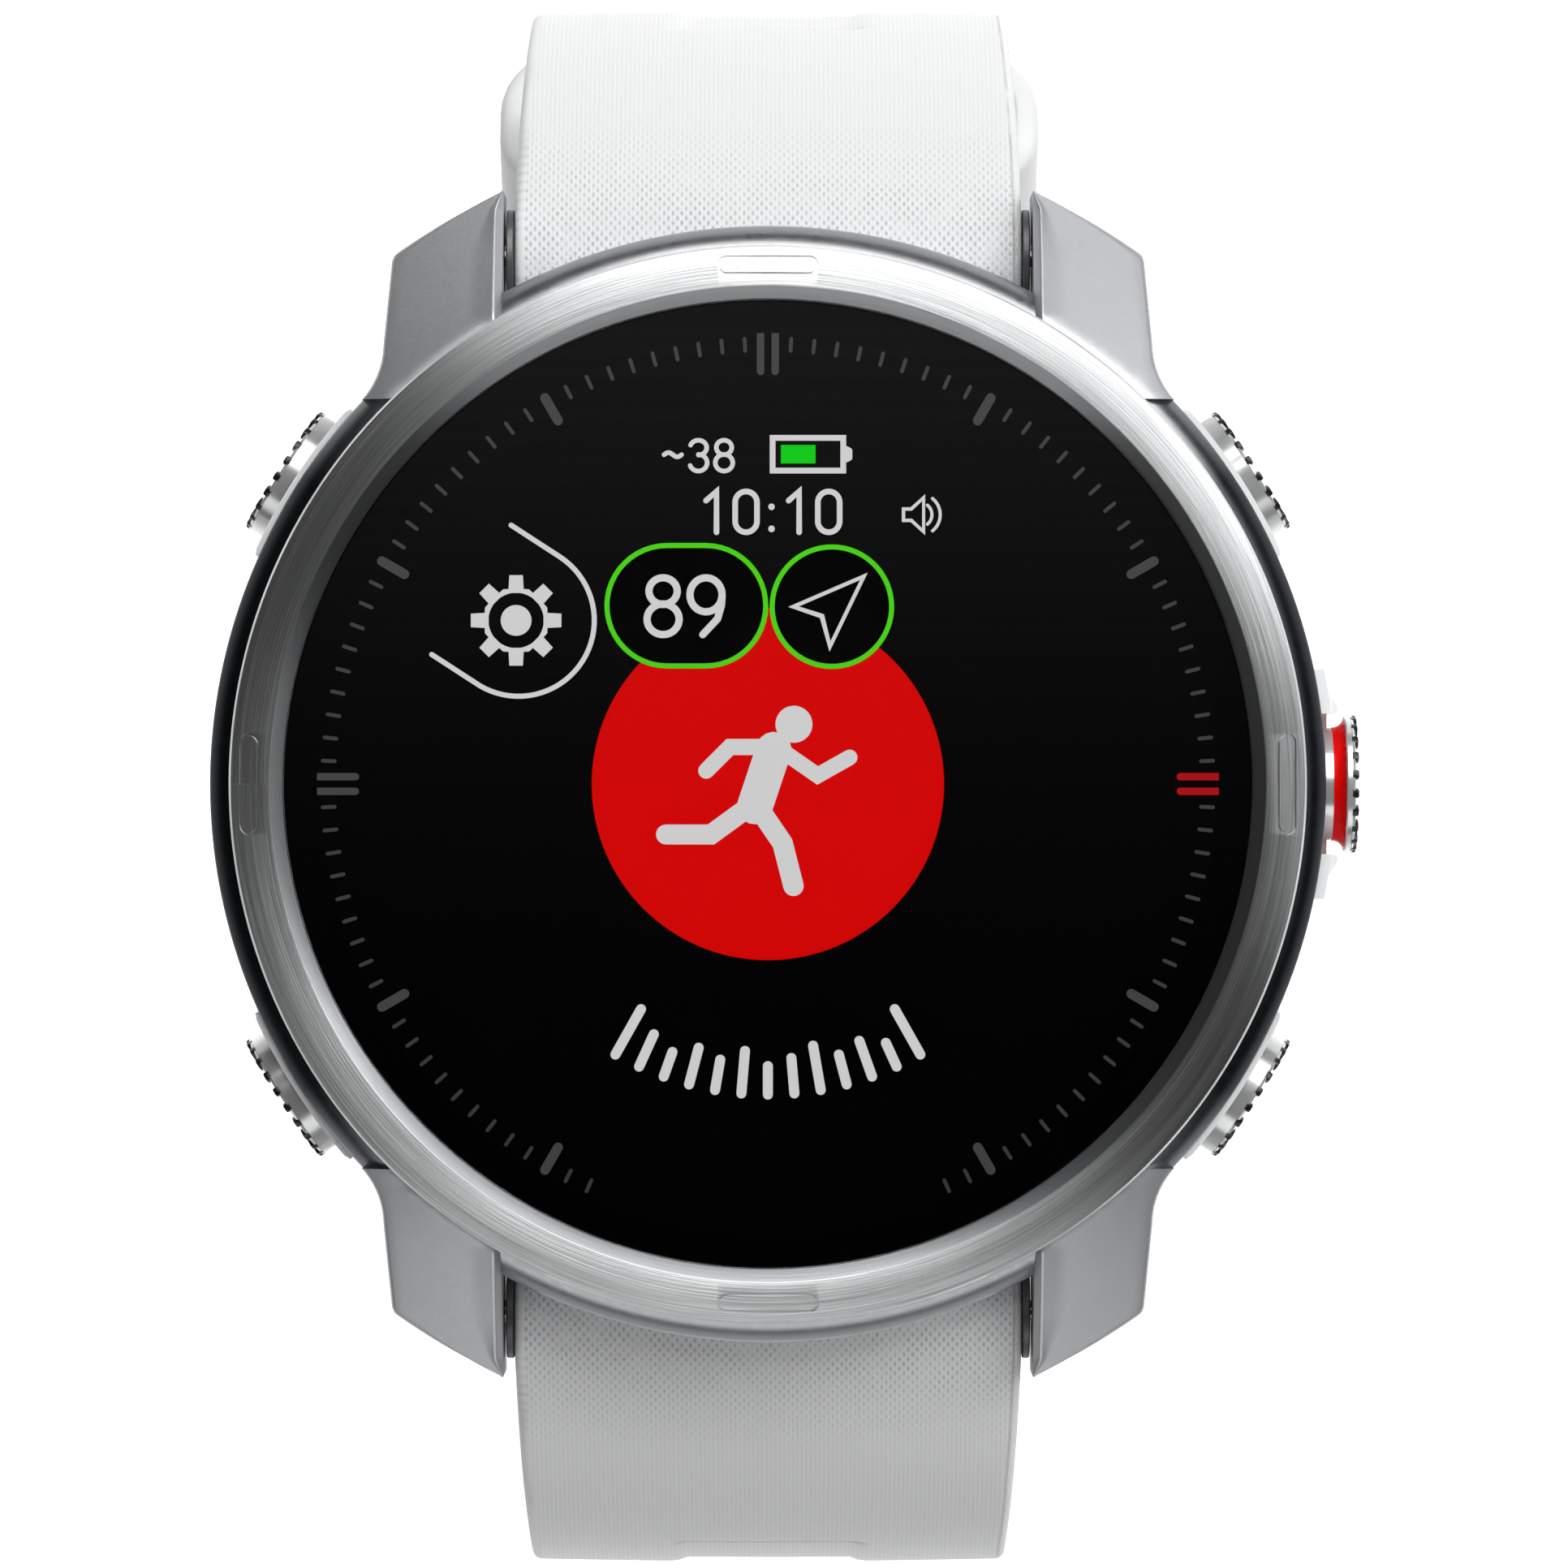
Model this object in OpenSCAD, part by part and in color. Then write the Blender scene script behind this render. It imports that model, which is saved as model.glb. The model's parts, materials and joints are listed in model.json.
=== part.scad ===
// GPS running watch on a quick-release strap.
// The display faces +Z, 12 o'clock is +Y and 3 o'clock is +X. The origin is the middle of the flat
// sensor window on the back, which rests on the wrist.

/* [Case] */
// Diameter of the case over the shoulder of the lug frame
case_d = 47; // [46.6:0.1:47.4]
// Height of the bezel's top above the sensor window
case_h = 12.9; // [12.7:0.1:13.2]
// Inner diameter of the bezel, where the cover glass sits
glass_d = 40.8; // [40.4:0.1:41]
// Gap between the two lugs of a pair
lug_gap = 22.2; // [22.2:0.1:22.4]
// Radius of the lug tips about the middle of the case
lug_tip_r = 27.3; // [27:0.1:27.5]

/* [Buttons] */
// Diameter of a button cap
cap_d = 5.86; // [5.7:0.02:5.9]
// How far a button travels when it is pressed
cap_travel = 0.6; // [0.4:0.1:0.6]
// Angle of the corner buttons above and below the 3 o'clock line
corner_angle = 33; // [32.5:0.5:33.5]

/* [Strap] */
// Width of the strap
strap_w = 20.8; // [20.4:0.1:21]
// Thickness of the strap where it leaves the case
strap_root_t = 3; // [2.6:0.1:3]
// Thickness of the rest of the strap
strap_t = 2.6; // [2.2:0.1:2.6]
// Number of holes in the tail half
hole_count = 9; // [7:1:10]
// Distance between two holes
hole_pitch = 6.5; // [6:0.1:6.8]

/* [Hidden] */
$fn = 96;

// Heights of the case's layers
case_r = case_d / 2;
body_r = case_r - 0.2;
body_bottom = 1.6;
body_top = 8.4;
ring_top = 10;
cavity_r = 18.2;
cavity_floor = 2.4;
cover_r = 20.7;
cover_bottom = 0.8;
cover_gap = 0.1;
window_r = 11.5;
window_seat = 1.3;
board_hole_r = 9.5;

// Bezel and glass
bezel_r = case_r - 0.8;
bezel_lip_r = glass_d / 2;
bezel_face_r = bezel_lip_r + 0.55;
bezel_ledge_r = 19.3;
glass_bottom = 11.3;
bond_gap = 0.06;
glass_top = case_h - 0.45;
mark_l = 4.2;
mark_w = 0.74;
mark_r = 21.83;
mark_depth = 0.12;

// Lugs
lug_inner_x = lug_gap / 2;
lug_outer_x = 15.85;
lug_root_r = 21;
lug_fillet_r = 3.5;
lug_bottom = 1.3;
bar_y = 22.6;
bar_z = 4.2;
pin_r = 0.5;
pin_bore_r = 0.55;
pin_reach = 1.4;
pocket_r = 2.45;

// Buttons, measured out along the button's own axis from the middle of the case
START = 0;
button_angles = [START, corner_angle, 180 - corner_angle, 180 + corner_angle, 360 - corner_angle];
button_z = 5.4;
cap_r = cap_d / 2;
cap_under = 22.4;
corner_face = 24.4;
start_flange = 24.25;
start_face = 24.8;
stem_r = 2.45;
red_ring_r = 2.6;
red_ring_from = 23.6;
shaft_r = 1.1;
shaft_end = 17.3;
bush_r = 1.6;
bush_bore_r = 1.13;
bush_from = 18.75;
spring_seat = 20.4;
spring_pocket_r = 1.95;
spring_coil_r = 1.5;
spring_wire_r = 0.14;
spring_turns = 4;
pocket_floor = cap_under - cap_travel - 0.2;
cap_pocket_r = cap_r + 0.17;
cap_slot_w = 2 * cap_r + 0.12;
guard_r = 24.15;
guard_half_w = 4.9;
ledge_r = case_r + 0.12;
ledge_half_w = 3.7;
seal_r = 0.93;
seal_wire_r = 0.18;
seal_groove_r = 0.75;
seal_places = [19.2, 20];
clip_from = 17.7;
clip_t = 0.35;
clip_r = 1.7;
clip_groove_r = 0.85;
switch_from = 16;
switch_t = 0.65;
flex_r = 15.85;

// Strap: a tight first bend beside the case, then a wide bend down the side of the wrist
root_angle = 10;
bend_side = 32.8;
bend_r = (bend_side - bar_y) / (1 - sin(root_angle));
bend_y = bar_y - bend_r * sin(root_angle);
bend_z = bar_z - bend_r * cos(root_angle);
barrel_r = 2.15;
barrel_w = 21.7;
buckle_arc_r = 30;
buckle_arc = 86;
tail_arc_r = 100;
tail_arc = 52;
tail_tip_r = 9;
buckle_arc_y = bend_side - buckle_arc_r;
tail_arc_y = tail_arc_r - bend_side;
hole_r = 1.25;
first_hole = 20;
bar_tube_r = 0.9;
bar_tube_l = 21.6;
lever_x = 6.2;
lever_r = 0.4;
lever_drop = 2.1;
release_travel = 1.3;
release_bore_r = 0.55;
release_from = 4;

// Keepers
keeper_w = 24.4;
keeper_gap = 3.3;
keeper_wall = 1.1;
keeper_side = 0.2;
free_keeper_at = 27;
free_keeper_arc = 16.4;
fixed_keeper_at = 62;
fixed_keeper_arc = 12;

// Buckle, in its own frame: +Y away from the strap, +Z away from the wrist
buckle_bar_r = 0.75;
buckle_bar_y = 1.9;
buckle_bore_r = 0.8;
buckle_inner_x = 10.9;
buckle_leg = 1.5;
buckle_front = 16.6;
buckle_cross = 2.2;
buckle_t = 2.4;
tongue_w = 2;
tongue_hub_r = 1.5;
hub_gap = 0.3;

// Shapes shared by several parts

module ring(r_out, r_in, z_from, z_to) {
    translate([0, 0, z_from]) difference() {
        cylinder(r = r_out, h = z_to - z_from, $fn = 180);
        translate([0, 0, -1]) cylinder(r = r_in, h = z_to - z_from + 2, $fn = 180);
    }
}

// A cylinder along the button axis at the given angle, between two distances from the middle
module radial(angle, r, from, to) {
    rotate([0, 0, angle]) translate([from, 0, button_z]) rotate([0, 90, 0])
        cylinder(r = r, h = to - from, $fn = 64);
}

module radial_ring(angle, r_out, r_in, from, to) {
    difference() {
        radial(angle, r_out, from, to);
        radial(angle, r_in, from - 1, to + 1);
    }
}

// A cylinder along X
module x_rod(r, from, to, y, z) {
    translate([from, y, z]) rotate([0, 90, 0]) cylinder(r = r, h = to - from, $fn = 64);
}

// Plan outline of the lug at top right, with a fillet where it meets the case
module lug_plan(grow) {
    fillet_x = lug_outer_x + lug_fillet_r + 0.2;
    fillet_y = sqrt(pow(case_r + lug_fillet_r, 2) - pow(fillet_x, 2));
    fillet_end = case_r / (case_r + lug_fillet_r);
    difference() {
        intersection() {
            circle(r = lug_tip_r + grow, $fn = 180);
            polygon([[lug_inner_x - grow, 14], [lug_outer_x - 0.25, 14],
                [fillet_x * fillet_end + grow, fillet_y * fillet_end],
                [fillet_x - lug_fillet_r + grow, fillet_y],
                [lug_outer_x - 0.15 + grow, 22.1], [lug_outer_x - 0.6 + grow, 26],
                [lug_inner_x - grow, 26]]);
        }
        circle(r = lug_root_r, $fn = 180);
        translate([fillet_x + grow, fillet_y]) circle(r = lug_fillet_r, $fn = 96);
    }
}

module four_corners() {
    for (mx = [0, 1], my = [0, 1]) mirror([mx, 0, 0]) mirror([0, my, 0]) children();
}

// Its children at the +Y end and again at the -Y end
module both_ends() {
    for (my = [0, 1]) mirror([0, my, 0]) children();
}

// Room for the strap's barrel between the lugs
module strap_pocket() {
    both_ends() {
        x_rod(pocket_r, -lug_inner_x, lug_inner_x, bar_y, bar_z);
        translate([-lug_inner_x, bar_y - 0.6, -1]) cube([lug_gap, 5, body_top + 1]);
    }
}

// Case

module guard_blank() {
    rotate([0, 0, START]) translate([18.5, -guard_half_w, 1.9])
        cube([guard_r - 18.5, 2 * guard_half_w, 6.3]);
    for (a = button_angles) if (a != START)
        rotate([0, 0, a]) translate([18.5, -ledge_half_w, 2]) cube([ledge_r - 18.5, 2 * ledge_half_w, 6.2]);
}

module body_tub() {
    difference() {
        union() {
            rotate_extrude($fn = 180) polygon([[cavity_r, body_bottom], [body_r - 1.1, body_bottom],
                [body_r - 0.3, body_bottom + 0.5], [body_r, body_bottom + 1.4], [body_r, body_top],
                [cavity_r, body_top]]);
            difference() {
                intersection() {
                    guard_blank();
                    cylinder(r = guard_r, h = body_top, $fn = 180);
                }
                cylinder(r = cavity_r, h = body_top + 1, $fn = 180);
            }
        }
        translate([0, 0, -1]) cylinder(r = cover_r + cover_gap, h = cavity_floor + 1, $fn = 180);
        four_corners() translate([0, 0, -1]) linear_extrude(body_top + 2) lug_plan(0.02);
        strap_pocket();
        ring(18.95, 18.45, cavity_floor - 1, cavity_floor + 0.45);
    }
}

module button_holes() {
    for (a = button_angles) {
        radial(a, cap_pocket_r, pocket_floor, case_r + 2);
        rotate([0, 0, a]) translate([case_r - 0.05, -cap_slot_w / 2, button_z])
            cube([2, cap_slot_w, 4]);
        radial(a, spring_pocket_r, spring_seat, pocket_floor + 1);
        radial(a, bush_r, bush_from, spring_seat + 1);
        radial(a, bush_bore_r, cavity_r - 1, bush_from + 1);
    }
}

module screw_places() {
    for (a = [45, 135, 225, 315]) rotate([0, 0, a]) translate([19.75, 0, 0]) children();
}

module case_body() {
    color("whitesmoke") difference() {
        body_tub();
        button_holes();
        screw_places() cylinder(r = 0.5, h = 3.9, $fn = 32);
    }
}

module lug_profile() {
    rotate([90, 0, 90]) translate([0, 0, lug_inner_x - 1]) linear_extrude(8)
        polygon([[13, lug_bottom], [24.2, lug_bottom], [25.4, lug_bottom + 1.1], [25.8, 4.2],
            [25.3, 5.5], [19.6, body_top + 0.3], [13, body_top + 0.3]]);
}

module lug_frame() {
    color("dimgray") difference() {
        union() {
            rotate_extrude($fn = 180) polygon([[bezel_ledge_r, body_top], [case_r - 0.25, body_top],
                [case_r, body_top + 0.25], [case_r, body_top + 0.7], [bezel_r + 0.1, ring_top],
                [bezel_ledge_r, ring_top]]);
            four_corners() intersection() {
                linear_extrude(ring_top) lug_plan(0);
                lug_profile();
            }
        }
        both_ends() x_rod(pin_bore_r, -lug_inner_x - pin_reach - 0.2, lug_inner_x + pin_reach + 0.2,
            bar_y, bar_z);
    }
}

module pill(l, w, h) {
    translate([-l / 2 + w / 2, 0, 0]) cylinder(r = w / 2, h = h, $fn = 32);
    translate([l / 2 - w / 2, 0, 0]) cylinder(r = w / 2, h = h, $fn = 32);
    translate([-l / 2 + w / 2, -w / 2, 0]) cube([l - w, w, h]);
}

module bezel() {
    line = 0.1;
    color("lightgray") difference() {
        rotate_extrude($fn = 180) polygon([[bezel_ledge_r, ring_top], [bezel_r, ring_top],
            [bezel_r, case_h - 0.35], [bezel_r - 0.12, case_h - 0.12], [bezel_face_r, case_h],
            [bezel_lip_r, glass_top - 0.05], [bezel_lip_r, glass_bottom], [bezel_ledge_r, glass_bottom]]);
        for (a = [0, 90, 180, 270]) rotate([0, 0, a]) translate([0, mark_r, case_h - mark_depth - 0.08])
            difference() {
                pill(mark_l, mark_w, 1);
                pill(mark_l - 2 * line, mark_w - 2 * line, 1);
            }
    }
}

module cover_glass() {
    color("lightcyan") translate([0, 0, glass_bottom])
        cylinder(r = bezel_lip_r - 0.03, h = glass_top - glass_bottom, $fn = 180);
}

module display_panel() {
    color("black") translate([0, 0, ring_top + 0.1])
        cylinder(r = bezel_ledge_r - 0.1, h = glass_bottom - bond_gap - ring_top - 0.1, $fn = 180);
}

module display_gasket() {
    color("darkslategray") ring(bezel_ledge_r - 0.1, bezel_ledge_r - 0.9, 9.5, ring_top + 0.1);
}

module chassis() {
    color("silver") difference() {
        ring(bezel_ledge_r - 0.1, 5, body_top, body_top + 0.7);
        translate([-4, 12, body_top - 1]) cube([8, 2, 3]);
    }
}

module main_board() {
    color("darkgreen") translate([0, 0, 6.7]) cylinder(r = 15, h = 0.6);
}

module shield_can() {
    color("silver") translate([-7, -6, 7.3]) cube([14, 12, 1]);
}

module battery() {
    color("slategray") translate([-11.5, -10, 2.7]) cube([23, 20, 3.2]);
}

module gps_antenna() {
    color("goldenrod") rotate([0, 0, 105]) rotate_extrude(angle = 330, $fn = 120)
        translate([18.45, body_top + 0.7]) square([0.6, 0.4]);
}

module flex(from, angle) {
    color("darkorange") rotate([0, 0, from]) rotate_extrude(angle = angle, $fn = 120)
        translate([flex_r, 3.9]) square([0.15, 3]);
}

module flex_right() {
    flex(-corner_angle - 6, 2 * corner_angle + 12);
}

module flex_left() {
    flex(180 - corner_angle - 6, 2 * corner_angle + 12);
}

module button_switches() {
    color("gold") for (a = button_angles) radial(a, 1.2, switch_from, switch_from + switch_t);
}

module button_bushes() {
    color("silver") for (a = button_angles) radial_ring(a, bush_r, bush_bore_r, bush_from, spring_seat);
}

module motor_can() {
    color("silver") translate([0, -13.3, 2.6]) difference() {
        cylinder(r = 3, h = 2.7);
        translate([0, 0, 0.25]) cylinder(r = 2.7, h = 2.2);
    }
}

module motor_weight() {
    color("dimgray") translate([0, -13.3, 0]) {
        translate([0, 0, 3]) intersection() {
            cylinder(r = 2.4, h = 1.6);
            translate([-3, -0.6, 0]) cube([6, 4, 2]);
        }
        translate([0, 0, 2.9]) cylinder(r = 0.4, h = 2);
    }
}

module case_gasket() {
    color("black") ring(18.93, 18.47, cavity_floor, cavity_floor + 0.43);
}

module back_cover() {
    color("gray") difference() {
        rotate_extrude($fn = 180) polygon([[0, cover_bottom], [cover_r - 1.2, cover_bottom],
            [cover_r, cover_bottom + 0.8], [cover_r, cavity_floor], [0, cavity_floor]]);
        translate([0, 0, -1]) cylinder(r = window_r + 0.03, h = window_seat + 1, $fn = 180);
        cylinder(r = board_hole_r, h = 5, $fn = 120);
        translate([0, -15.3, -1]) pill(9, 3.2, 2.35);
        for (x = [-3, -1, 1, 3]) translate([x, -15.3, 0]) cylinder(r = 0.5, h = 5, $fn = 32);
        screw_places() cylinder(r = 0.75, h = 1.25, $fn = 48);
        screw_places() cylinder(r = 0.5, h = 5, $fn = 32);
    }
}

module cover_screws() {
    color("silver") screw_places() difference() {
        union() {
            translate([0, 0, 0.85]) cylinder(r = 0.7, h = 0.4, $fn = 48);
            translate([0, 0, 1.2]) cylinder(r = 0.5, h = 2.6, $fn = 32);
        }
        for (a = [0, 60, 120]) rotate([0, 0, a]) translate([-0.4, -0.08, 0]) cube([0.8, 0.16, 1.1]);
    }
}

module sensor_window() {
    color("dimgray") rotate_extrude($fn = 180) polygon([[0, 0], [window_r - 1.5, 0], [window_r - 0.5, 0.2],
        [window_r, 0.75], [window_r, window_seat], [0, window_seat]]);
}

module sensor_board() {
    color("darkgreen") {
        translate([0, 0, 1.75]) cylinder(r = board_hole_r - 0.3, h = 0.6);
        for (a = [0 : 60 : 300]) rotate([0, 0, a]) translate([4.6, -0.8, 1.35]) cube([1.6, 1.6, 0.4]);
        translate([-1.2, -1.2, 1.35]) cube([2.4, 2.4, 0.4]);
    }
}

module charge_contacts() {
    color("gold") for (x = [-3, -1, 1, 3]) translate([x, -15.3, 1.15]) cylinder(r = 0.5, h = 1.4, $fn = 32);
}

// Buttons

module shaft(angle) {
    difference() {
        radial(angle, shaft_r, shaft_end, cap_under + 0.1);
        for (s = seal_places)
            radial_ring(angle, shaft_r + 0.5, seal_groove_r, s - seal_wire_r - 0.02,
                s + seal_wire_r + 0.02);
        radial_ring(angle, shaft_r + 0.5, clip_groove_r, clip_from, clip_from + clip_t);
    }
}

// A turned cap profile, with a chamfer on both edges
module cap_disc(angle, from, to) {
    edge = 0.12;
    rotate([0, 0, angle]) translate([0, 0, button_z]) rotate([0, 90, 0]) rotate_extrude($fn = 96)
        polygon([[0, from], [cap_r - edge, from], [cap_r, from + edge], [cap_r, to - edge],
            [cap_r - edge, to], [0, to]]);
}

module corner_cap(angle) {
    color("silver") {
        shaft(angle);
        cap_disc(angle, cap_under, corner_face);
    }
}

module cap_start() {
    color("silver") {
        shaft(START);
        difference() {
            radial(START, stem_r, cap_under, start_flange + 0.1);
            radial_ring(START, stem_r + 1, stem_r - 0.2, red_ring_from, start_flange);
        }
        cap_disc(START, start_flange, start_face);
    }
}

module start_ring() {
    color("red") radial_ring(START, red_ring_r, stem_r - 0.2, red_ring_from, start_flange);
}

module seals(angle) {
    color("black") for (s = seal_places) rotate([0, 0, angle]) translate([s, 0, button_z])
        rotate([0, 90, 0]) rotate_extrude($fn = 64) translate([seal_r, 0])
            circle(r = seal_wire_r, $fn = 24);
}

module clip(angle) {
    color("gray") difference() {
        radial_ring(angle, clip_r, clip_groove_r, clip_from, clip_from + clip_t);
        rotate([0, 0, angle]) translate([clip_from - 1, -0.6, button_z - 3]) cube([3, 1.2, 2.8]);
    }
}

// The return spring: one closed tube swept along a helix about the button axis
module spring(angle) {
    sides = 6;
    rings = 60;
    from = spring_seat + spring_wire_r + 0.02;
    to = cap_under - spring_wire_r - 0.02;
    function place(i) = [for (k = [0 : sides - 1])
        let (t = 360 * spring_turns * i / rings, u = 360 * k / sides,
            r = spring_coil_r + spring_wire_r * cos(u))
        [from + (to - from) * i / rings + spring_wire_r * sin(u), r * cos(t), r * sin(t)]];
    points = [for (i = [0 : rings]) each place(i)];
    wall = [for (i = [0 : rings - 1], k = [0 : sides - 1])
        let (a = i * sides + k, b = i * sides + (k + 1) % sides)
        [a, b, b + sides, a + sides]];
    start = [[for (k = [sides - 1 : -1 : 0]) k]];
    finish = [[for (k = [0 : sides - 1]) rings * sides + k]];
    color("silver") rotate([0, 0, angle]) translate([0, 0, button_z])
        polyhedron(points = points, faces = concat(wall, start, finish));
}

// Strap

// A band of the given width and thickness bent about the X axis, from angle a1 to a2 in the YZ plane
module bend(r, t, w, a1, a2) {
    rotate([0, 90, 0]) rotate([0, 0, 90]) translate([0, 0, -w / 2]) rotate([0, 0, a1])
        rotate_extrude(angle = a2 - a1, $fn = 180) translate([r - t / 2, 0]) square([t, w]);
}

// The two bends of one half, for the half at +Y
module strap_bends(arc_r, arc_y, arc) {
    translate([0, bend_y, bend_z]) bend(bend_r, strap_root_t, barrel_w, 20, 90 - root_angle);
    translate([0, bend_y, bend_z]) bend(bend_r, strap_t + 0.2, strap_w + 0.2, -1, 22);
    translate([0, arc_y, bend_z]) bend(arc_r, strap_t, strap_w, -arc, 0);
    x_rod(barrel_r, 0.1 - barrel_w / 2, barrel_w / 2 - 0.1, bar_y, bar_z);
}

// What the spring bar and its lever take out of the strap's end
module bar_room() {
    x_rod(bar_tube_r + 0.03, -20, 20, bar_y, bar_z);
    translate([lever_x - release_travel - 0.8, bar_y - 0.7, bar_z - 4])
        cube([release_travel + 1.6, 1.4, 4]);
}

// Moves a shape from the X axis to a place on the wide bend, at the given angle below the horizon
module on_arc(arc_r, arc_y, angle) {
    translate([0, arc_y, bend_z]) rotate([-angle, 0, 0]) translate([0, arc_r, 0]) children();
}

module strap_buckle_half() {
    color("whitesmoke") difference() {
        union() {
            strap_bends(buckle_arc_r, buckle_arc_y, buckle_arc);
            buckle_place() x_rod(1.55, -9.9, 9.9, buckle_bar_y, 0);
            buckle_place() translate([-9.9, -0.5, -1.1]) cube([19.8, buckle_bar_y + 0.5, 2.2]);
        }
        bar_room();
        buckle_place() x_rod(buckle_bore_r, -20, 20, buckle_bar_y, 0);
        buckle_place() translate([-tongue_w / 2 - hub_gap, -1.6, -5]) cube([tongue_w + 2 * hub_gap, 8, 10]);
    }
}

module strap_tail_half() {
    tip_start = tail_arc - tail_tip_r / tail_arc_r * 180 / PI;
    color("whitesmoke") mirror([0, 1, 0]) difference() {
        strap_bends(tail_arc_r, -tail_arc_y, tail_arc);
        bar_room();
        for (i = [0 : hole_count - 1])
            on_arc(tail_arc_r, -tail_arc_y, (first_hole + i * hole_pitch) / tail_arc_r * 180 / PI)
                rotate([0, 90, 90]) translate([0, 0, -3]) cylinder(r = hole_r, h = 6, $fn = 48);
        for (side = [0, 1]) mirror([side, 0, 0]) on_arc(tail_arc_r, -tail_arc_y, tip_start)
            translate([strap_w / 2 - tail_tip_r, 0, 0]) rotate([90, 0, 0])
                linear_extrude(12, center = true) difference() {
                    translate([0, -2 * tail_tip_r]) square([2 * tail_tip_r, 2 * tail_tip_r]);
                    circle(r = tail_tip_r, $fn = 96);
                }
    }
}

module spring_bar() {
    color("silver") difference() {
        union() {
            x_rod(bar_tube_r, -bar_tube_l / 2, bar_tube_l / 2, bar_y, bar_z);
            x_rod(pin_r, -lug_inner_x - pin_reach, 0, bar_y, bar_z);
        }
        x_rod(release_bore_r, release_from - 0.2, lug_inner_x, bar_y, bar_z);
        translate([lever_x - release_travel - 0.5, bar_y - 0.45, bar_z - 2])
            cube([release_travel + 1, 0.9, 2]);
    }
}

module release_pin() {
    color("gray") {
        x_rod(pin_r, release_from + release_travel + 0.1, lug_inner_x + pin_reach, bar_y, bar_z);
        translate([lever_x, bar_y, bar_z - lever_drop]) cylinder(r = lever_r, h = lever_drop, $fn = 32);
    }
}

module spring_bar_top() {
    spring_bar();
}

module spring_bar_bottom() {
    mirror([0, 1, 0]) spring_bar();
}

module release_pin_top() {
    release_pin();
}

module release_pin_bottom() {
    mirror([0, 1, 0]) release_pin();
}

// A flat loop round the strap and, outside it, the tail that is tucked through it
module keeper(at, arc, inner_gap) {
    inner_r = buckle_arc_r - strap_t / 2 - inner_gap;
    outer_r = buckle_arc_r + strap_t / 2 + keeper_gap;
    t = outer_r - inner_r;
    mid = (outer_r + inner_r) / 2;
    color("whitesmoke") translate([0, buckle_arc_y, bend_z]) difference() {
        bend(mid, t + 2 * keeper_wall, keeper_w, -at - arc, -at);
        bend(mid, t, strap_w + 2 * keeper_side, -at - arc - 1, -at + 1);
    }
}

module fixed_keeper() {
    keeper(fixed_keeper_at, fixed_keeper_arc, 0);
}

module free_keeper() {
    keeper(free_keeper_at, free_keeper_arc, 0.1);
}

// Buckle

module buckle_place() {
    on_arc(buckle_arc_r, buckle_arc_y, buckle_arc) rotate([-90, 0, 0]) children();
}

module buckle_bar() {
    color("silver") buckle_place()
        x_rod(buckle_bar_r, -buckle_inner_x - buckle_leg, buckle_inner_x + buckle_leg, buckle_bar_y, 0);
}

module buckle_frame() {
    outer_x = buckle_inner_x + buckle_leg;
    color("silver") buckle_place() difference() {
        union() {
            for (s = [-1, 1]) {
                x_rod(buckle_t / 2, s * (buckle_inner_x + buckle_leg / 2) - buckle_leg / 2,
                    s * (buckle_inner_x + buckle_leg / 2) + buckle_leg / 2, buckle_bar_y, 0);
                translate([s * (buckle_inner_x + buckle_leg / 2) - buckle_leg / 2, buckle_bar_y,
                    -buckle_t / 2])
                    cube([buckle_leg, buckle_front - buckle_bar_y - 2, buckle_t]);
                translate([s * (outer_x - 2), buckle_front - 2, 0])
                    cylinder(r = 2, h = buckle_t, center = true, $fn = 64);
            }
            translate([-outer_x + 2, buckle_front - buckle_cross, -buckle_t / 2])
                cube([2 * outer_x - 4, buckle_cross, buckle_t]);
        }
        x_rod(buckle_bar_r, -20, 20, buckle_bar_y, 0);
        translate([-buckle_inner_x + 1, buckle_front - buckle_cross - 2, -3])
            cube([2 * buckle_inner_x - 2, 2, 6]);
        translate([-tongue_w / 2 - 0.2, buckle_front - buckle_cross - 1, buckle_t / 2 - 0.5])
            cube([tongue_w + 0.4, buckle_cross + 3, 2]);
    }
}

module buckle_tongue() {
    reach = buckle_front - buckle_bar_y + 0.2;
    color("silver") buckle_place() difference() {
        union() {
            x_rod(tongue_hub_r, -tongue_w / 2, tongue_w / 2, buckle_bar_y, 0);
            translate([-tongue_w / 2, buckle_bar_y, buckle_t / 2 - 0.45]) cube([tongue_w, reach, 0.8]);
        }
        x_rod(buckle_bore_r, -2, 2, buckle_bar_y, 0);
    }
}

case_body();
lug_frame();
bezel();
cover_glass();
display_panel();
display_gasket();
chassis();
main_board();
shield_can();
battery();
gps_antenna();
flex_right();
flex_left();
button_switches();
button_bushes();
motor_can();
motor_weight();
case_gasket();
back_cover();
cover_screws();
sensor_window();
sensor_board();
charge_contacts();
cap_start();
corner_cap(button_angles[2]);  // cap_up
corner_cap(button_angles[1]);  // cap_light
corner_cap(button_angles[3]);  // cap_down
corner_cap(button_angles[4]);  // cap_back
seals(START);  // seals_start
seals(button_angles[2]);  // seals_up
seals(button_angles[1]);  // seals_light
seals(button_angles[3]);  // seals_down
seals(button_angles[4]);  // seals_back
clip(START);  // clip_start
clip(button_angles[2]);  // clip_up
clip(button_angles[1]);  // clip_light
clip(button_angles[3]);  // clip_down
clip(button_angles[4]);  // clip_back
spring(START);  // spring_start
spring(button_angles[2]);  // spring_up
spring(button_angles[1]);  // spring_light
spring(button_angles[3]);  // spring_down
spring(button_angles[4]);  // spring_back
start_ring();
strap_buckle_half();
strap_tail_half();
spring_bar_top();
spring_bar_bottom();
release_pin_top();
release_pin_bottom();
fixed_keeper();
free_keeper();
buckle_bar();
buckle_frame();
buckle_tongue();
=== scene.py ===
import json
import math
import bmesh
import bpy
from mathutils import Matrix, Vector


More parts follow.
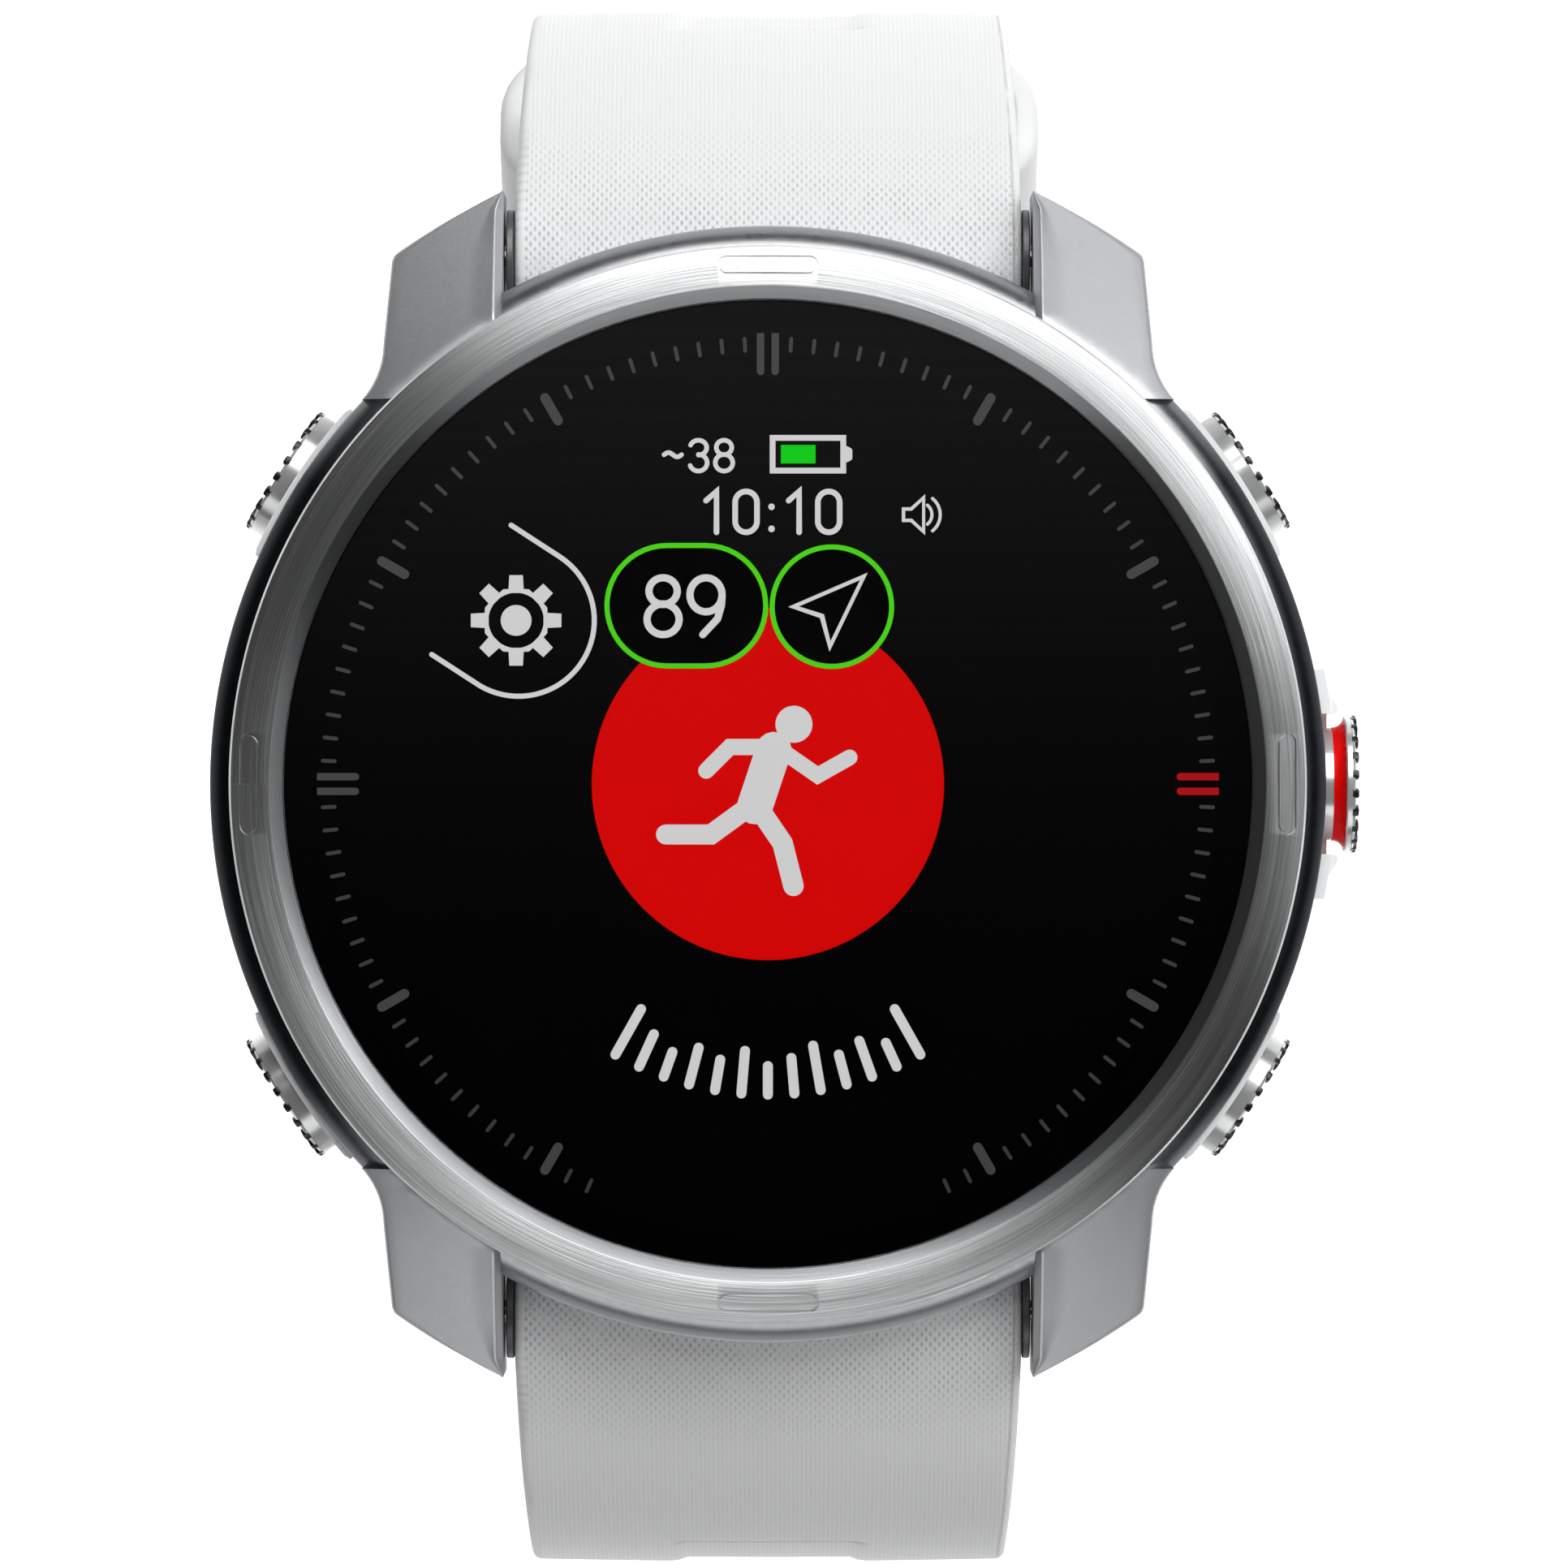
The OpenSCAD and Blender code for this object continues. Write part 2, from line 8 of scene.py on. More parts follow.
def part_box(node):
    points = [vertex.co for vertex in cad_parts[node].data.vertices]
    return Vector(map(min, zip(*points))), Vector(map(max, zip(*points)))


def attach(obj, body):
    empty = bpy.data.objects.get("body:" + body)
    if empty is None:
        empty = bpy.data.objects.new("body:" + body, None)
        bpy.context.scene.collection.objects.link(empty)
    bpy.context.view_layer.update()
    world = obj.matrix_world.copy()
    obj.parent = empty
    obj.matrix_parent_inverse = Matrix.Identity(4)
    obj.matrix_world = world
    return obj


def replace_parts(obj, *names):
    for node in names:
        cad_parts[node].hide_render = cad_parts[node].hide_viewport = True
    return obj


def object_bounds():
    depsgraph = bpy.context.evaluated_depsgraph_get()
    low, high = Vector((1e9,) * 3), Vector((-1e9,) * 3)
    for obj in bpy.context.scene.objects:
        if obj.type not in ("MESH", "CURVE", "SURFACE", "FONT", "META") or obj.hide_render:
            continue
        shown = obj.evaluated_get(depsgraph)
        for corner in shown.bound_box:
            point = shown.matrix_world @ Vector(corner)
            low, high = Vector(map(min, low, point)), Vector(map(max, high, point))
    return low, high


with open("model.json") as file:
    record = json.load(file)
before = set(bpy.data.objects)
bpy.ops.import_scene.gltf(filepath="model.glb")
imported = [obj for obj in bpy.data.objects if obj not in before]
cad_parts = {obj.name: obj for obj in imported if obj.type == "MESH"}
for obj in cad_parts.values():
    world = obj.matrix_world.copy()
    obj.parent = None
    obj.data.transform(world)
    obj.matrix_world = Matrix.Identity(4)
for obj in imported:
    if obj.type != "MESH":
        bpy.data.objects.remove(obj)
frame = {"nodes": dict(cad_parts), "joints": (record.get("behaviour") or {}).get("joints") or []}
cad_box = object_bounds()
nodes = frame["nodes"]
joints = {j["name"]: j for j in frame["joints"]}

MM = 0.001

# The watch's own layout, in millimetres. Heights and radii come from the CAD nodes' boxes.
GLASS_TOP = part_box("cover_glass")[1].z / MM
GLASS_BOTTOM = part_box("cover_glass")[0].z / MM
GLASS_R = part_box("cover_glass")[1].x / MM
PANEL_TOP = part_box("display_panel")[1].z / MM
BEZEL_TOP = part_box("bezel")[1].z / MM
BEZEL_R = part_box("bezel")[1].x / MM
BUTTON_Z = (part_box("cap_start")[0].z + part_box("cap_start")[1].z) / 2 / MM
CAP_R = (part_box("cap_start")[1].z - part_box("cap_start")[0].z) / 2 / MM
START_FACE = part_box("cap_start")[1].x / MM
CORNER_FACE = START_FACE - 0.4
CORNER_OUT = CORNER_FACE + 0.17
BUTTONS = {"start": 0, "light": 33, "up": 147, "down": 213, "back": 327}

BAR_Y = joints["strap_top_swing"]["pos_m"][1] / MM
BAR_Z = joints["strap_top_swing"]["pos_m"][2] / MM
STRAP_SIDE = 32.8
ROOT_ANGLE = math.radians(10)
TIGHT_R = (STRAP_SIDE - BAR_Y) / (1 - math.sin(ROOT_ANGLE))
TIGHT_Y = BAR_Y - TIGHT_R * math.sin(ROOT_ANGLE)
TIGHT_Z = BAR_Z - TIGHT_R * math.cos(ROOT_ANGLE)
TIGHT_LENGTH = TIGHT_R * (math.pi / 2 - ROOT_ANGLE)
BUCKLE_ARC_R = 30
BUCKLE_LENGTH = TIGHT_LENGTH + BUCKLE_ARC_R * math.radians(86)
TAIL_ARC_R = 100
TAIL_LENGTH = TIGHT_LENGTH + TAIL_ARC_R * math.radians(52)


# ---------------------------------------------------------------- mesh helpers

def shade(obj, angle=35):
    """Smooth shading with sharp edges above an angle in degrees."""
    obj.data.polygons.foreach_set("use_smooth", [True] * len(obj.data.polygons))
    obj.data.set_sharp_from_angle(angle=math.radians(angle))


def new_object(name, data):
    obj = bpy.data.objects.new(name, data)
    bpy.context.scene.collection.objects.link(obj)
    return obj


def place(name, mesh, body, material, angle=35):
    """Makes a mesh a piece of the scene that rides on a body."""
    obj = new_object(name, mesh)
    mesh.materials.append(material)
    shade(obj, angle)
    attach(obj, body)
    return obj


def mesh_from(name, bm):
    """The mesh of a finished bmesh, with its normals facing out."""
    bmesh.ops.recalc_face_normals(bm, faces=bm.faces)
    mesh = bpy.data.meshes.new(name)
    bm.to_mesh(mesh)
    bm.free()
    return mesh


def mesh_of(name, verts, faces, weld=True):
    """A mesh from millimetre points, with doubles merged if asked and normals facing out."""
    bm = bmesh.new()
    made = [bm.verts.new(Vector(v) * MM) for v in verts]
    for f in faces:
        bm.faces.new([made[i] for i in f])
    if weld:
        bmesh.ops.remove_doubles(bm, verts=bm.verts, dist=1e-8)
    return mesh_from(name, bm)


def rounded(corners, steps=4):
    """The closed outline through corners (x, y, radius), each turned with its own radius."""
    out = []
    for i, (x, y, radius) in enumerate(corners):
        p = Vector((x, y))
        to_a = Vector(corners[i - 1][:2]) - p
        to_b = Vector(corners[(i + 1) % len(corners)][:2]) - p
        half = to_a.angle(to_b) / 2
        reach = min(radius / math.tan(half), 0.49 * min(to_a.length, to_b.length))
        if reach <= 0:
            out.append(p)
            continue
        a, b = to_a.normalized(), to_b.normalized()
        turn = reach * math.tan(half)
        centre = p + (a + b).normalized() * turn / math.sin(half)
        first, last = p + a * reach - centre, p + b * reach - centre
        start = math.atan2(first.y, first.x)
        span = (math.atan2(last.y, last.x) - start + math.pi) % (2 * math.pi) - math.pi
        for k in range(steps + 1):
            t = start + span * k / steps
            out.append(centre + turn * Vector((math.cos(t), math.sin(t))))
    return out


def lathe(name, outline, segments=192):
    """A solid of revolution about Z from a closed (radius, height) outline."""
    count = len(outline)
    verts = []
    for i in range(segments):
        t = 2 * math.pi * i / segments
        verts += [(r * math.cos(t), r * math.sin(t), z) for r, z in outline]
    faces = []
    for i in range(segments):
        j = (i + 1) % segments
        for k in range(count):
            m = (k + 1) % count
            quad = [i * count + k, j * count + k, j * count + m, i * count + m]
            if outline[k][0] > 1e-6 or outline[m][0] > 1e-6:
                faces.append(quad)
    return merged(name, verts, faces)


def merged(name, verts, faces):
    """mesh_of for faces that may fold to triangles where their points coincide."""
    key = {}
    index = []
    points = []
    for v in verts:
        k = tuple(round(c, 6) for c in v)
        if k not in key:
            key[k] = len(points)
            points.append(v)
        index.append(key[k])
    clean = []
    for f in faces:
        g = []
        for i in f:
            if index[i] not in g:
                g.append(index[i])
        if len(g) > 2:
            clean.append(g)
    return mesh_of(name, points, clean)


def grid_faces(rows, columns, caps=True):
    """Faces of a tube of rows rings with columns points each, closed at both ends if caps is set."""
    faces = []
    for i in range(rows - 1):
        for k in range(columns):
            m = (k + 1) % columns
            faces.append([i * columns + k, i * columns + m, (i + 1) * columns + m, (i + 1) * columns + k])
    if caps:
        faces.append(list(range(columns))[::-1])
        faces.append([(rows - 1) * columns + k for k in range(columns)])
    return faces


def prism(outline, low, high):
    """Points and faces of an upright slab over a closed (x, y) outline."""
    n = len(outline)
    verts = [(x, y, low) for x, y in outline] + [(x, y, high) for x, y in outline]
    return verts, grid_faces(2, n)


def band_faces(n):
    """Faces of a closed flat band: its points are n low left, n low right, n high left, n high right."""
    faces = []
    for i in range(n):
        j = (i + 1) % n
        faces += [[i, j, n + j, n + i], [2 * n + i, 3 * n + i, 3 * n + j, 2 * n + j]]
        faces += [[i, 2 * n + i, 2 * n + j, j], [n + i, n + j, 3 * n + j, 3 * n + i]]
    return faces


def ribbon(points, width, low, high, closed=False):
    """Points and faces of a flat band of even width along a path, with round ends when it is open."""
    path = [Vector(p) for p in points]
    n = len(path)
    left, right = [], []
    for i, p in enumerate(path):
        before = path[i - 1] if (i or closed) else p
        after = path[(i + 1) % n] if (i < n - 1 or closed) else p
        a = (p - before).normalized() if (p - before).length > 1e-9 else (after - p).normalized()
        b = (after - p).normalized() if (after - p).length > 1e-9 else a
        normal = Vector((-(a + b).y, (a + b).x)).normalized()
        grow = 1 / max(0.45, normal.dot(Vector((-a.y, a.x))))
        left.append(p + normal * width / 2 * grow)
        right.append(p - normal * width / 2 * grow)
    if closed:
        return [(v.x, v.y, z) for z in (low, high) for side in (left, right) for v in side], band_faces(n)
    outline = [tuple(v) for v in left]
    outline += arc_points(path[-1], width / 2, left[-1] - path[-1], -math.pi)
    outline += [tuple(v) for v in reversed(right)]
    outline += arc_points(path[0], width / 2, right[0] - path[0], -math.pi)
    return prism(outline, low, high)


def arc_points(centre, radius, first, span, steps=8):
    """The inner points of an arc that starts in the direction first."""
    start = math.atan2(first.y, first.x)
    turns = [start + span * k / steps for k in range(1, steps)]
    return [(centre.x + radius * math.cos(t), centre.y + radius * math.sin(t)) for t in turns]


def arc(cx, cy, rx, ry, start, end, steps=20):
    """Points on an ellipse's arc, angles in degrees."""
    turns = [math.radians(start + (end - start) * k / steps) for k in range(steps + 1)]
    return [(cx + rx * math.cos(t), cy + ry * math.sin(t)) for t in turns]


def joined(shapes):
    """Points and faces of several shapes as one list each."""
    verts, faces = [], []
    for v, f in shapes:
        base = len(verts)
        verts += v
        faces += [[i + base for i in face] for face in f]
    return verts, faces


def display_piece(name, shapes, material):
    """One piece of the display from several flat slabs that may touch."""
    mesh = mesh_of(name, *joined(shapes), weld=False)
    place(name, mesh, "case", material, 25)


def ease(x):
    x = min(1.0, max(0.0, x))
    return x * x * (3 - 2 * x)


def mix(a, b, t):
    return a + (b - a) * t


def cut(obj, *cutters):
    """Takes other meshes out of a piece, applies the result and removes the cutters."""
    for cutter in cutters:
        tool = obj.modifiers.new("cut", "BOOLEAN")
        tool.operation = "DIFFERENCE"
        tool.solver = "EXACT"
        tool.object = cutter
    depsgraph = bpy.context.evaluated_depsgraph_get()
    mesh = bpy.data.meshes.new_from_object(obj.evaluated_get(depsgraph))
    obj.modifiers.clear()
    old = obj.data
    obj.data = mesh
    bpy.data.meshes.remove(old)
    for cutter in cutters:
        bpy.data.objects.remove(cutter)
    shade(obj, 35)


def tool_object(mesh):
    return new_object("tool", mesh)


# ---------------------------------------------------------------- materials

class Nodes:
    """A short way to write a material's node tree."""

    def __init__(self, name):
        self.material = bpy.data.materials.new(name)
        self.material.use_nodes = True
        self.tree = self.material.node_tree
        self.shader = self.tree.nodes["Principled BSDF"]

    def new(self, kind, **values):
        node = self.tree.nodes.new(kind)
        for key, value in values.items():
            if hasattr(node, key):
                setattr(node, key, value)
            else:
                node.inputs[key.replace("_", " ")].default_value = value
        return node

    def link(self, out, into):
        self.tree.links.new(out, into)

    def value(self, **values):
        for key, value in values.items():
            self.shader.inputs[key.replace("_", " ")].default_value = value

    def feed(self, node, values):
        """Sets or links a node's first inputs: each value is a number, a socket or None."""
        for i, v in enumerate(values):
            if isinstance(v, (int, float)):
                node.inputs[i].default_value = v
            elif v is not None:
                self.link(v, node.inputs[i])

    def math(self, operation, a, b=None, c=None):
        node = self.new("ShaderNodeMath", operation=operation)
        self.feed(node, (a, b, c))
        return node.outputs[0]

    def mul(self, a, b):
        return self.math("MULTIPLY", a, b)

    def add(self, a, b):
        return self.math("ADD", a, b)

    def place(self, kind="Object"):
        return self.new("ShaderNodeTexCoord").outputs[kind]

    def xyz(self, vector):
        node = self.new("ShaderNodeSeparateXYZ")
        self.link(vector, node.inputs[0])
        return node.outputs

    def combine(self, x, y, z=0.0):
        node = self.new("ShaderNodeCombineXYZ")
        self.feed(node, (x, y, z))
        return node.outputs[0]

    def noise(self, vector, scale, detail=3.0, roughness=0.5):
        node = self.new("ShaderNodeTexNoise")
        node.inputs["Scale"].default_value = scale
        node.inputs["Detail"].default_value = detail
        node.inputs["Roughness"].default_value = roughness
        self.link(vector, node.inputs["Vector"])
        return node.outputs["Fac"]

    def ramp(self, factor, *stops):
        """A colour ramp from (position, colour) stops, where a colour may be one grey level."""
        node = self.new("ShaderNodeValToRGB")
        self.link(factor, node.inputs[0])
        ends = node.color_ramp.elements
        while len(ends) < len(stops):
            ends.new(0.5)
        for e, (position, colour) in zip(ends, stops):
            e.position = position
            grey = isinstance(colour, (int, float))
            e.color = (colour, colour, colour, 1) if grey else (*colour, 1)
        return node.outputs[0]

    def remap(self, factor, low, high, out_low, out_high):
        node = self.new("ShaderNodeMapRange")
        self.link(factor, node.inputs[0])
        for i, v in enumerate((low, high, out_low, out_high)):
            node.inputs[i + 1].default_value = v
        return node.outputs[0]

    def bump(self, height, strength, distance):
        node = self.new("ShaderNodeBump")
        node.inputs["Strength"].default_value = strength
        node.inputs["Distance"].default_value = distance
        self.link(height, node.inputs["Height"])
        self.link(node.outputs[0], self.shader.inputs["Normal"])

    def colour(self, socket):
        self.link(socket, self.shader.inputs["Base Color"])

    def roughness(self, socket):
        self.link(socket, self.shader.inputs["Roughness"])


def polar(n):
    """Distance from the watch's axis and the angle about it, from object coordinates."""
    x, y, _ = n.xyz(n.place())
    radius = n.math("SQRT", n.add(n.mul(x, x), n.mul(y, y)))
    return radius, n.math("ARCTAN2", y, x)


def brushed_bezel():
    """Steel brushed in circles about the watch's axis, with a darker polished inner edge."""
    n = Nodes("brushed_bezel")
    radius, angle = polar(n)
    lines = n.noise(n.combine(n.mul(radius, 15000), n.mul(angle, 2.2)), 1.0, 3.0, 0.7)
    broad = n.noise(n.combine(n.mul(radius, 2600), n.mul(angle, 0.5)), 1.0, 2.0)
    face = n.math("GREATER_THAN", radius, 0.02094)
    brushed = n.ramp(lines, (0.3, (0.44, 0.45, 0.455)), (0.7, (0.88, 0.89, 0.9)))
    blend = n.new("ShaderNodeMix", data_type="RGBA")
    n.link(face, blend.inputs[0])
    blend.inputs[6].default_value = (0.34, 0.35, 0.36, 1)
    n.link(brushed, blend.inputs[7])
    n.colour(blend.outputs[2])
    n.roughness(n.remap(broad, 0.3, 0.7, 0.31, 0.38))
    n.value(Metallic=1.0, Anisotropic=0.92, Anisotropic_Rotation=0.25)
    tangent = n.new("ShaderNodeTangent", direction_type="RADIAL", axis="Z")
    n.link(tangent.outputs[0], n.shader.inputs["Tangent"])
    n.bump(lines, 0.5, 0.00003)
    return n.material


def grained(name, dark, light, cloud, fine, rough, relief=None, **values):
    """A surface with soft clouds between two colours and a fine grain in its roughness and relief.

    cloud and fine are each a noise's (scale, detail), rough is the roughness from low to high, and
    relief is a bump's (strength, distance).
    """
    n = Nodes(name)
    coords = n.place()
    grain = n.noise(coords, *fine)
    n.colour(n.ramp(n.noise(coords, *cloud), (0.3, dark), (0.7, light)))
    n.roughness(n.remap(grain, 0.2, 0.8, *rough))
    n.value(**values)
    if relief:
        n.bump(grain, *relief)
    return n.material


def satin_metal(name, dark, light, rough=0.38, grain=9000, metal=1.0):
    """Bead-blasted metal."""
    return grained(name, dark, light, (120, 3.0), (grain, 2.0), (rough - 0.06, rough + 0.06),
                   (0.12, 0.00002), Metallic=metal)


def polished_steel(name, tint, rough, metal=1.0):
    """Turned and polished metal with faint turning marks."""
    shadow = tuple(0.93 * c for c in tint)
    return grained(name, shadow, tint, (300, 2.0), (2500, 2.0), (rough, rough + 0.08), (0.04, 0.00001),
                   Metallic=metal)


def gloss_trim(name, dark, light, coat=0.3, specular=0.5):
    return grained(name, dark, light, (700, 2.0), (3000, 2.0), (0.2, 0.32),
                   Coat_Weight=coat, Coat_Roughness=0.1, Specular_IOR_Level=specular)


WEAVE_X = 0.38
WEAVE_Y = 0.4


def woven_silicone():
    """White silicone with a moulded knit in strap coordinates: staggered pits that grow fainter along the
    strap, with painted shade in the knit's hollows and painted light on its ribs.
    """
    n = Nodes("woven_silicone")
    u, v, _ = n.xyz(n.place("UV"))
    wave_u = n.math("SINE", n.mul(u, 2 * math.pi * 10 / WEAVE_X))
    wave_v = n.math("SINE", n.mul(v, 2 * math.pi * 100 / WEAVE_Y))
    cells = n.math("MULTIPLY_ADD", n.mul(wave_u, wave_v), 0.5, 0.5)
    pits = n.math("SUBTRACT", 1.0, n.math("POWER", cells, 2.2))
    ribs = n.math("MULTIPLY_ADD", n.math("COSINE", n.mul(u, 4 * math.pi * 10 / WEAVE_X)), 0.5, 0.5)
    near = n.remap(v, 0.008, 0.055, 1.0, 0.06)
    cloud = n.noise(n.place(), 140, 3.0)
    patch = n.noise(n.place(), 1100, 3.0)
    uneven = n.mul(near, n.remap(patch, 0.3, 0.65, 0.35, 1.0))
    knit = n.add(n.mul(pits, uneven), n.mul(n.mul(ribs, patch), 0.42))
    mask = n.new("ShaderNodeAttribute", attribute_name="weave").outputs["Fac"]
    fine = n.noise(n.place(), 6500, 2.0)
    height = n.add(n.mul(knit, mask), n.mul(fine, 0.1))
    # Painted shade and light: the colour follows the knit's relief, darker in its hollows and lighter on its
    # ribs.
    painted_relief_shade = n.math("SUBTRACT", knit, uneven)
    tone = n.math("MULTIPLY_ADD", painted_relief_shade, mask, n.math("MULTIPLY_ADD", cloud, 0.1, 0.75))
    n.colour(n.ramp(tone, (0.15, (0.57, 0.58, 0.6)), (0.9, (0.86, 0.865, 0.87))))
    n.roughness(n.remap(fine, 0.2, 0.8, 0.5, 0.62))
    n.value(Sheen_Weight=0.1, Sheen_Roughness=0.5, Specular_IOR_Level=0.35)
    n.bump(height, 0.6, 0.00006)
    return n.material


def clear_glass():
    n = Nodes("clear_glass")
    n.colour(n.ramp(n.noise(n.place(), 60, 1.0), (0.0, 0.985), (1.0, 1.0)))
    n.value(Transmission_Weight=1.0, Roughness=0.0, IOR=1.2)
    return n.material


def display_black():
    """The unlit display: black, faintly lit towards the top by painted light in its emission and colour,
    with the fine lines of its rows.
    """
    n = Nodes("display_black")
    _, y, _ = n.xyz(n.place())
    height = n.remap(y, -0.016, 0.019, 0.0, 1.0)
    rows = n.math("SINE", n.mul(y, 2 * math.pi / 0.0009))
    # Painted light: the emission and the colour grow towards the top of the display, as if lit from above.
    painted_glow = n.mul(n.math("POWER", height, 2.4), n.math("MULTIPLY_ADD", rows, 0.06, 1.0))
    n.colour(n.ramp(height, (0.0, 0.0003), (1.0, 0.0006)))
    n.link(n.ramp(painted_glow, (0.0, 0.0), (1.0, (0.0088, 0.0088, 0.0092))), n.shader.inputs["Emission Color"])
    n.value(Emission_Strength=1.0, Roughness=0.4, Specular_IOR_Level=0.0)
    return n.material


def print_black():
    n = Nodes("print_black")
    n.colour(n.ramp(n.noise(n.place(), 2000, 1.0), (0.3, 0.0015), (0.7, 0.003)))
    n.value(Roughness=0.6, Specular_IOR_Level=0.0)
    return n.material


def lit(name, top, bottom):
    """A lit area of the display: its colour from top to bottom, lighter towards the top as painted light,
    with the display's fine pixel rows.
    """
    n = Nodes(name)
    x, y, _ = n.xyz(n.place())
    pitch = 2 * math.pi / 0.00011
    rows = n.mul(n.math("SINE", n.mul(y, pitch)), n.math("SINE", n.mul(x, pitch)))
    # Painted light: the top colour is set lighter than the bottom, so the area brightens towards the top.
    tone = n.ramp(n.remap(y, -0.02, 0.02, 0.0, 1.0), (0.0, bottom), (1.0, top))
    blend = n.new("ShaderNodeMix", data_type="RGBA", blend_type="MULTIPLY")
    blend.inputs[0].default_value = 1.0
    n.link(tone, blend.inputs[6])
    n.link(n.remap(rows, -1.0, 1.0, 0.93, 1.0), blend.inputs[7])
    n.link(blend.outputs[2], n.shader.inputs["Emission Color"])
    n.colour(n.ramp(rows, (0.0, 0.0004), (1.0, 0.0008)))
    n.value(Emission_Strength=1.0, Roughness=0.7, Specular_IOR_Level=0.0)
    return n.material


def dark_sensor():
    """Dark polished window over the optical sensor."""
    n = Nodes("dark_sensor")
    radius, _ = polar(n)
    outwards = n.remap(radius, 0.0, 0.0115, 0.0, 1.0)
    n.colour(n.ramp(outwards, (0.0, (0.012, 0.012, 0.016)), (0.78, (0.02, 0.02, 0.026)),
                    (0.82, (0.004, 0.004, 0.005))))
    n.roughness(n.remap(n.noise(n.place(), 900, 2.0), 0.2, 0.8, 0.04, 0.09))
    n.value(Coat_Weight=0.6, Coat_Roughness=0.03)
    return n.material


def plain_floor():
    n = Nodes("plain_floor")
    n.colour(n.ramp(n.noise(n.place(), 8, 2.0), (0.3, 0.88), (0.7, 0.9)))
    n.value(Roughness=0.9, Specular_IOR_Level=0.1, Emission_Strength=0.75)
    radius, _ = polar(n)
    outwards = n.remap(radius, 0.09, 0.22, 0.0, 1.0)
    n.link(n.ramp(outwards, (0.0, 1.0), (1.0, 0.0)), n.shader.inputs["Emission Color"])
    return n.material


def band_painted_reflection():
    """Polished metal coloured as a painted reflection: dark at the sides, a little lighter towards both ends
    of the strap.
    """
    n = Nodes("band_painted_reflection")
    _, angle = polar(n)
    # Painted reflection: the colour follows the angle about the watch, dark at 3 and 9 o'clock and lighter
    # at 12 and 6.
    ends = n.math("ABSOLUTE", n.math("SINE", angle))
    n.colour(n.ramp(ends, (0.0, (0.03, 0.034, 0.04)), (0.55, (0.045, 0.05, 0.056)),
                    (0.74, (0.33, 0.34, 0.35)), (1.0, (0.36, 0.365, 0.375))))
    n.roughness(n.remap(n.noise(n.place(), 2600, 2.0), 0.2, 0.8, 0.26, 0.36))
    n.value(Metallic=1.0)
    return n.material


STEEL = brushed_bezel()
BAND = band_painted_reflection()
LUG = satin_metal("satin_lug", (0.49, 0.50, 0.52), (0.54, 0.55, 0.57), 0.42, 9000, 0.85)
BACK = satin_metal("satin_back", (0.26, 0.265, 0.27), (0.31, 0.315, 0.32), 0.42)
BUCKLE = satin_metal("satin_buckle", (0.48, 0.485, 0.49), (0.56, 0.565, 0.57), 0.28)
BUTTON = polished_steel("polished_button", (0.72, 0.725, 0.73), 0.17, 0.62)
# Painted shade: the knurl's steel is coloured near black.
KNURL = polished_steel("knurl_painted_shade", (0.05, 0.052, 0.056), 0.3)
BAR = polished_steel("drawn_steel", (0.6, 0.6, 0.6), 0.2)
POLYMER = grained("satin_polymer", (0.91, 0.915, 0.92), (0.94, 0.945, 0.95), (160, 3.0), (5200, 3.0),
                  (0.38, 0.52), (0.15, 0.00002))
RED = gloss_trim("red_ring", (0.84, 0.001, 0.001), (0.88, 0.002, 0.002), 0.0, 0.1)
SILICONE = woven_silicone()
GOLD = polished_steel("gold_plate", (0.83, 0.58, 0.22), 0.15)
RUBBER = gloss_trim("seal_rubber", (0.015, 0.015, 0.016), (0.03, 0.03, 0.03))
BOARD = gloss_trim("circuit_board", (0.01, 0.09, 0.03), (0.02, 0.13, 0.05))
FILM = gloss_trim("polyimide_film", (0.36, 0.16, 0.03), (0.48, 0.22, 0.05))
INNER = satin_metal("inner_metal", (0.5, 0.5, 0.51), (0.6, 0.6, 0.61), 0.3, 4000)
WEIGHT = satin_metal("sintered_weight", (0.12, 0.12, 0.12), (0.18, 0.18, 0.18), 0.5, 4000)
# Display colours run from top to bottom; where the top is lighter, that is painted light.
GLYPH = lit("lit_white", (0.66, 0.66, 0.66), (0.62, 0.62, 0.62))
GREEN = lit("lit_green", (0.075, 0.66, 0.012), (0.07, 0.6, 0.01))
CHARGE = lit("lit_charge", (0.008, 0.62, 0.012), (0.008, 0.58, 0.01))
RED_DISC = lit("lit_red", (0.66, 0.004, 0.004), (0.66, 0.0, 0.0))
RED_MARK = lit("lit_mark_red", (0.4, 0.006, 0.008), (0.4, 0.006, 0.008))
TICK = lit("lit_tick", (0.062, 0.062, 0.063), (0.036, 0.036, 0.037))
HOUR = lit("lit_hour", (0.068, 0.069, 0.07), (0.05, 0.05, 0.052))
BLACKED = print_black()
SCREEN = display_black()

NODE_LOOKS = {
    "case_body": POLYMER, "lug_frame": LUG, "bezel": STEEL, "cover_glass": clear_glass(),
    "display_panel": SCREEN, "back_cover": BACK, "sensor_window": dark_sensor(),
    "display_gasket": RUBBER, "case_gasket": RUBBER, "chassis": INNER, "shield_can": INNER,
    "battery": INNER, "motor_can": INNER, "motor_weight": WEIGHT, "main_board": BOARD, "sensor_board": BOARD,
    "gps_antenna": FILM, "flex_right": FILM, "flex_left": FILM, "button_switches": GOLD,
    "charge_contacts": GOLD, "cover_screws": BAR, "button_bushes": BAR,
    "spring_bar_top": BAR, "spring_bar_bottom": BAR, "release_pin_top": BAR, "release_pin_bottom": BAR,
    "buckle_bar": BAR,
}
for b in BUTTONS:
    NODE_LOOKS.update({f"cap_{b}": BUTTON, f"clip_{b}": BAR, f"spring_{b}": BAR, f"seals_{b}": RUBBER})
for node_name, look in NODE_LOOKS.items():
    nodes[node_name].data.materials.clear()
    nodes[node_name].data.materials.append(look)


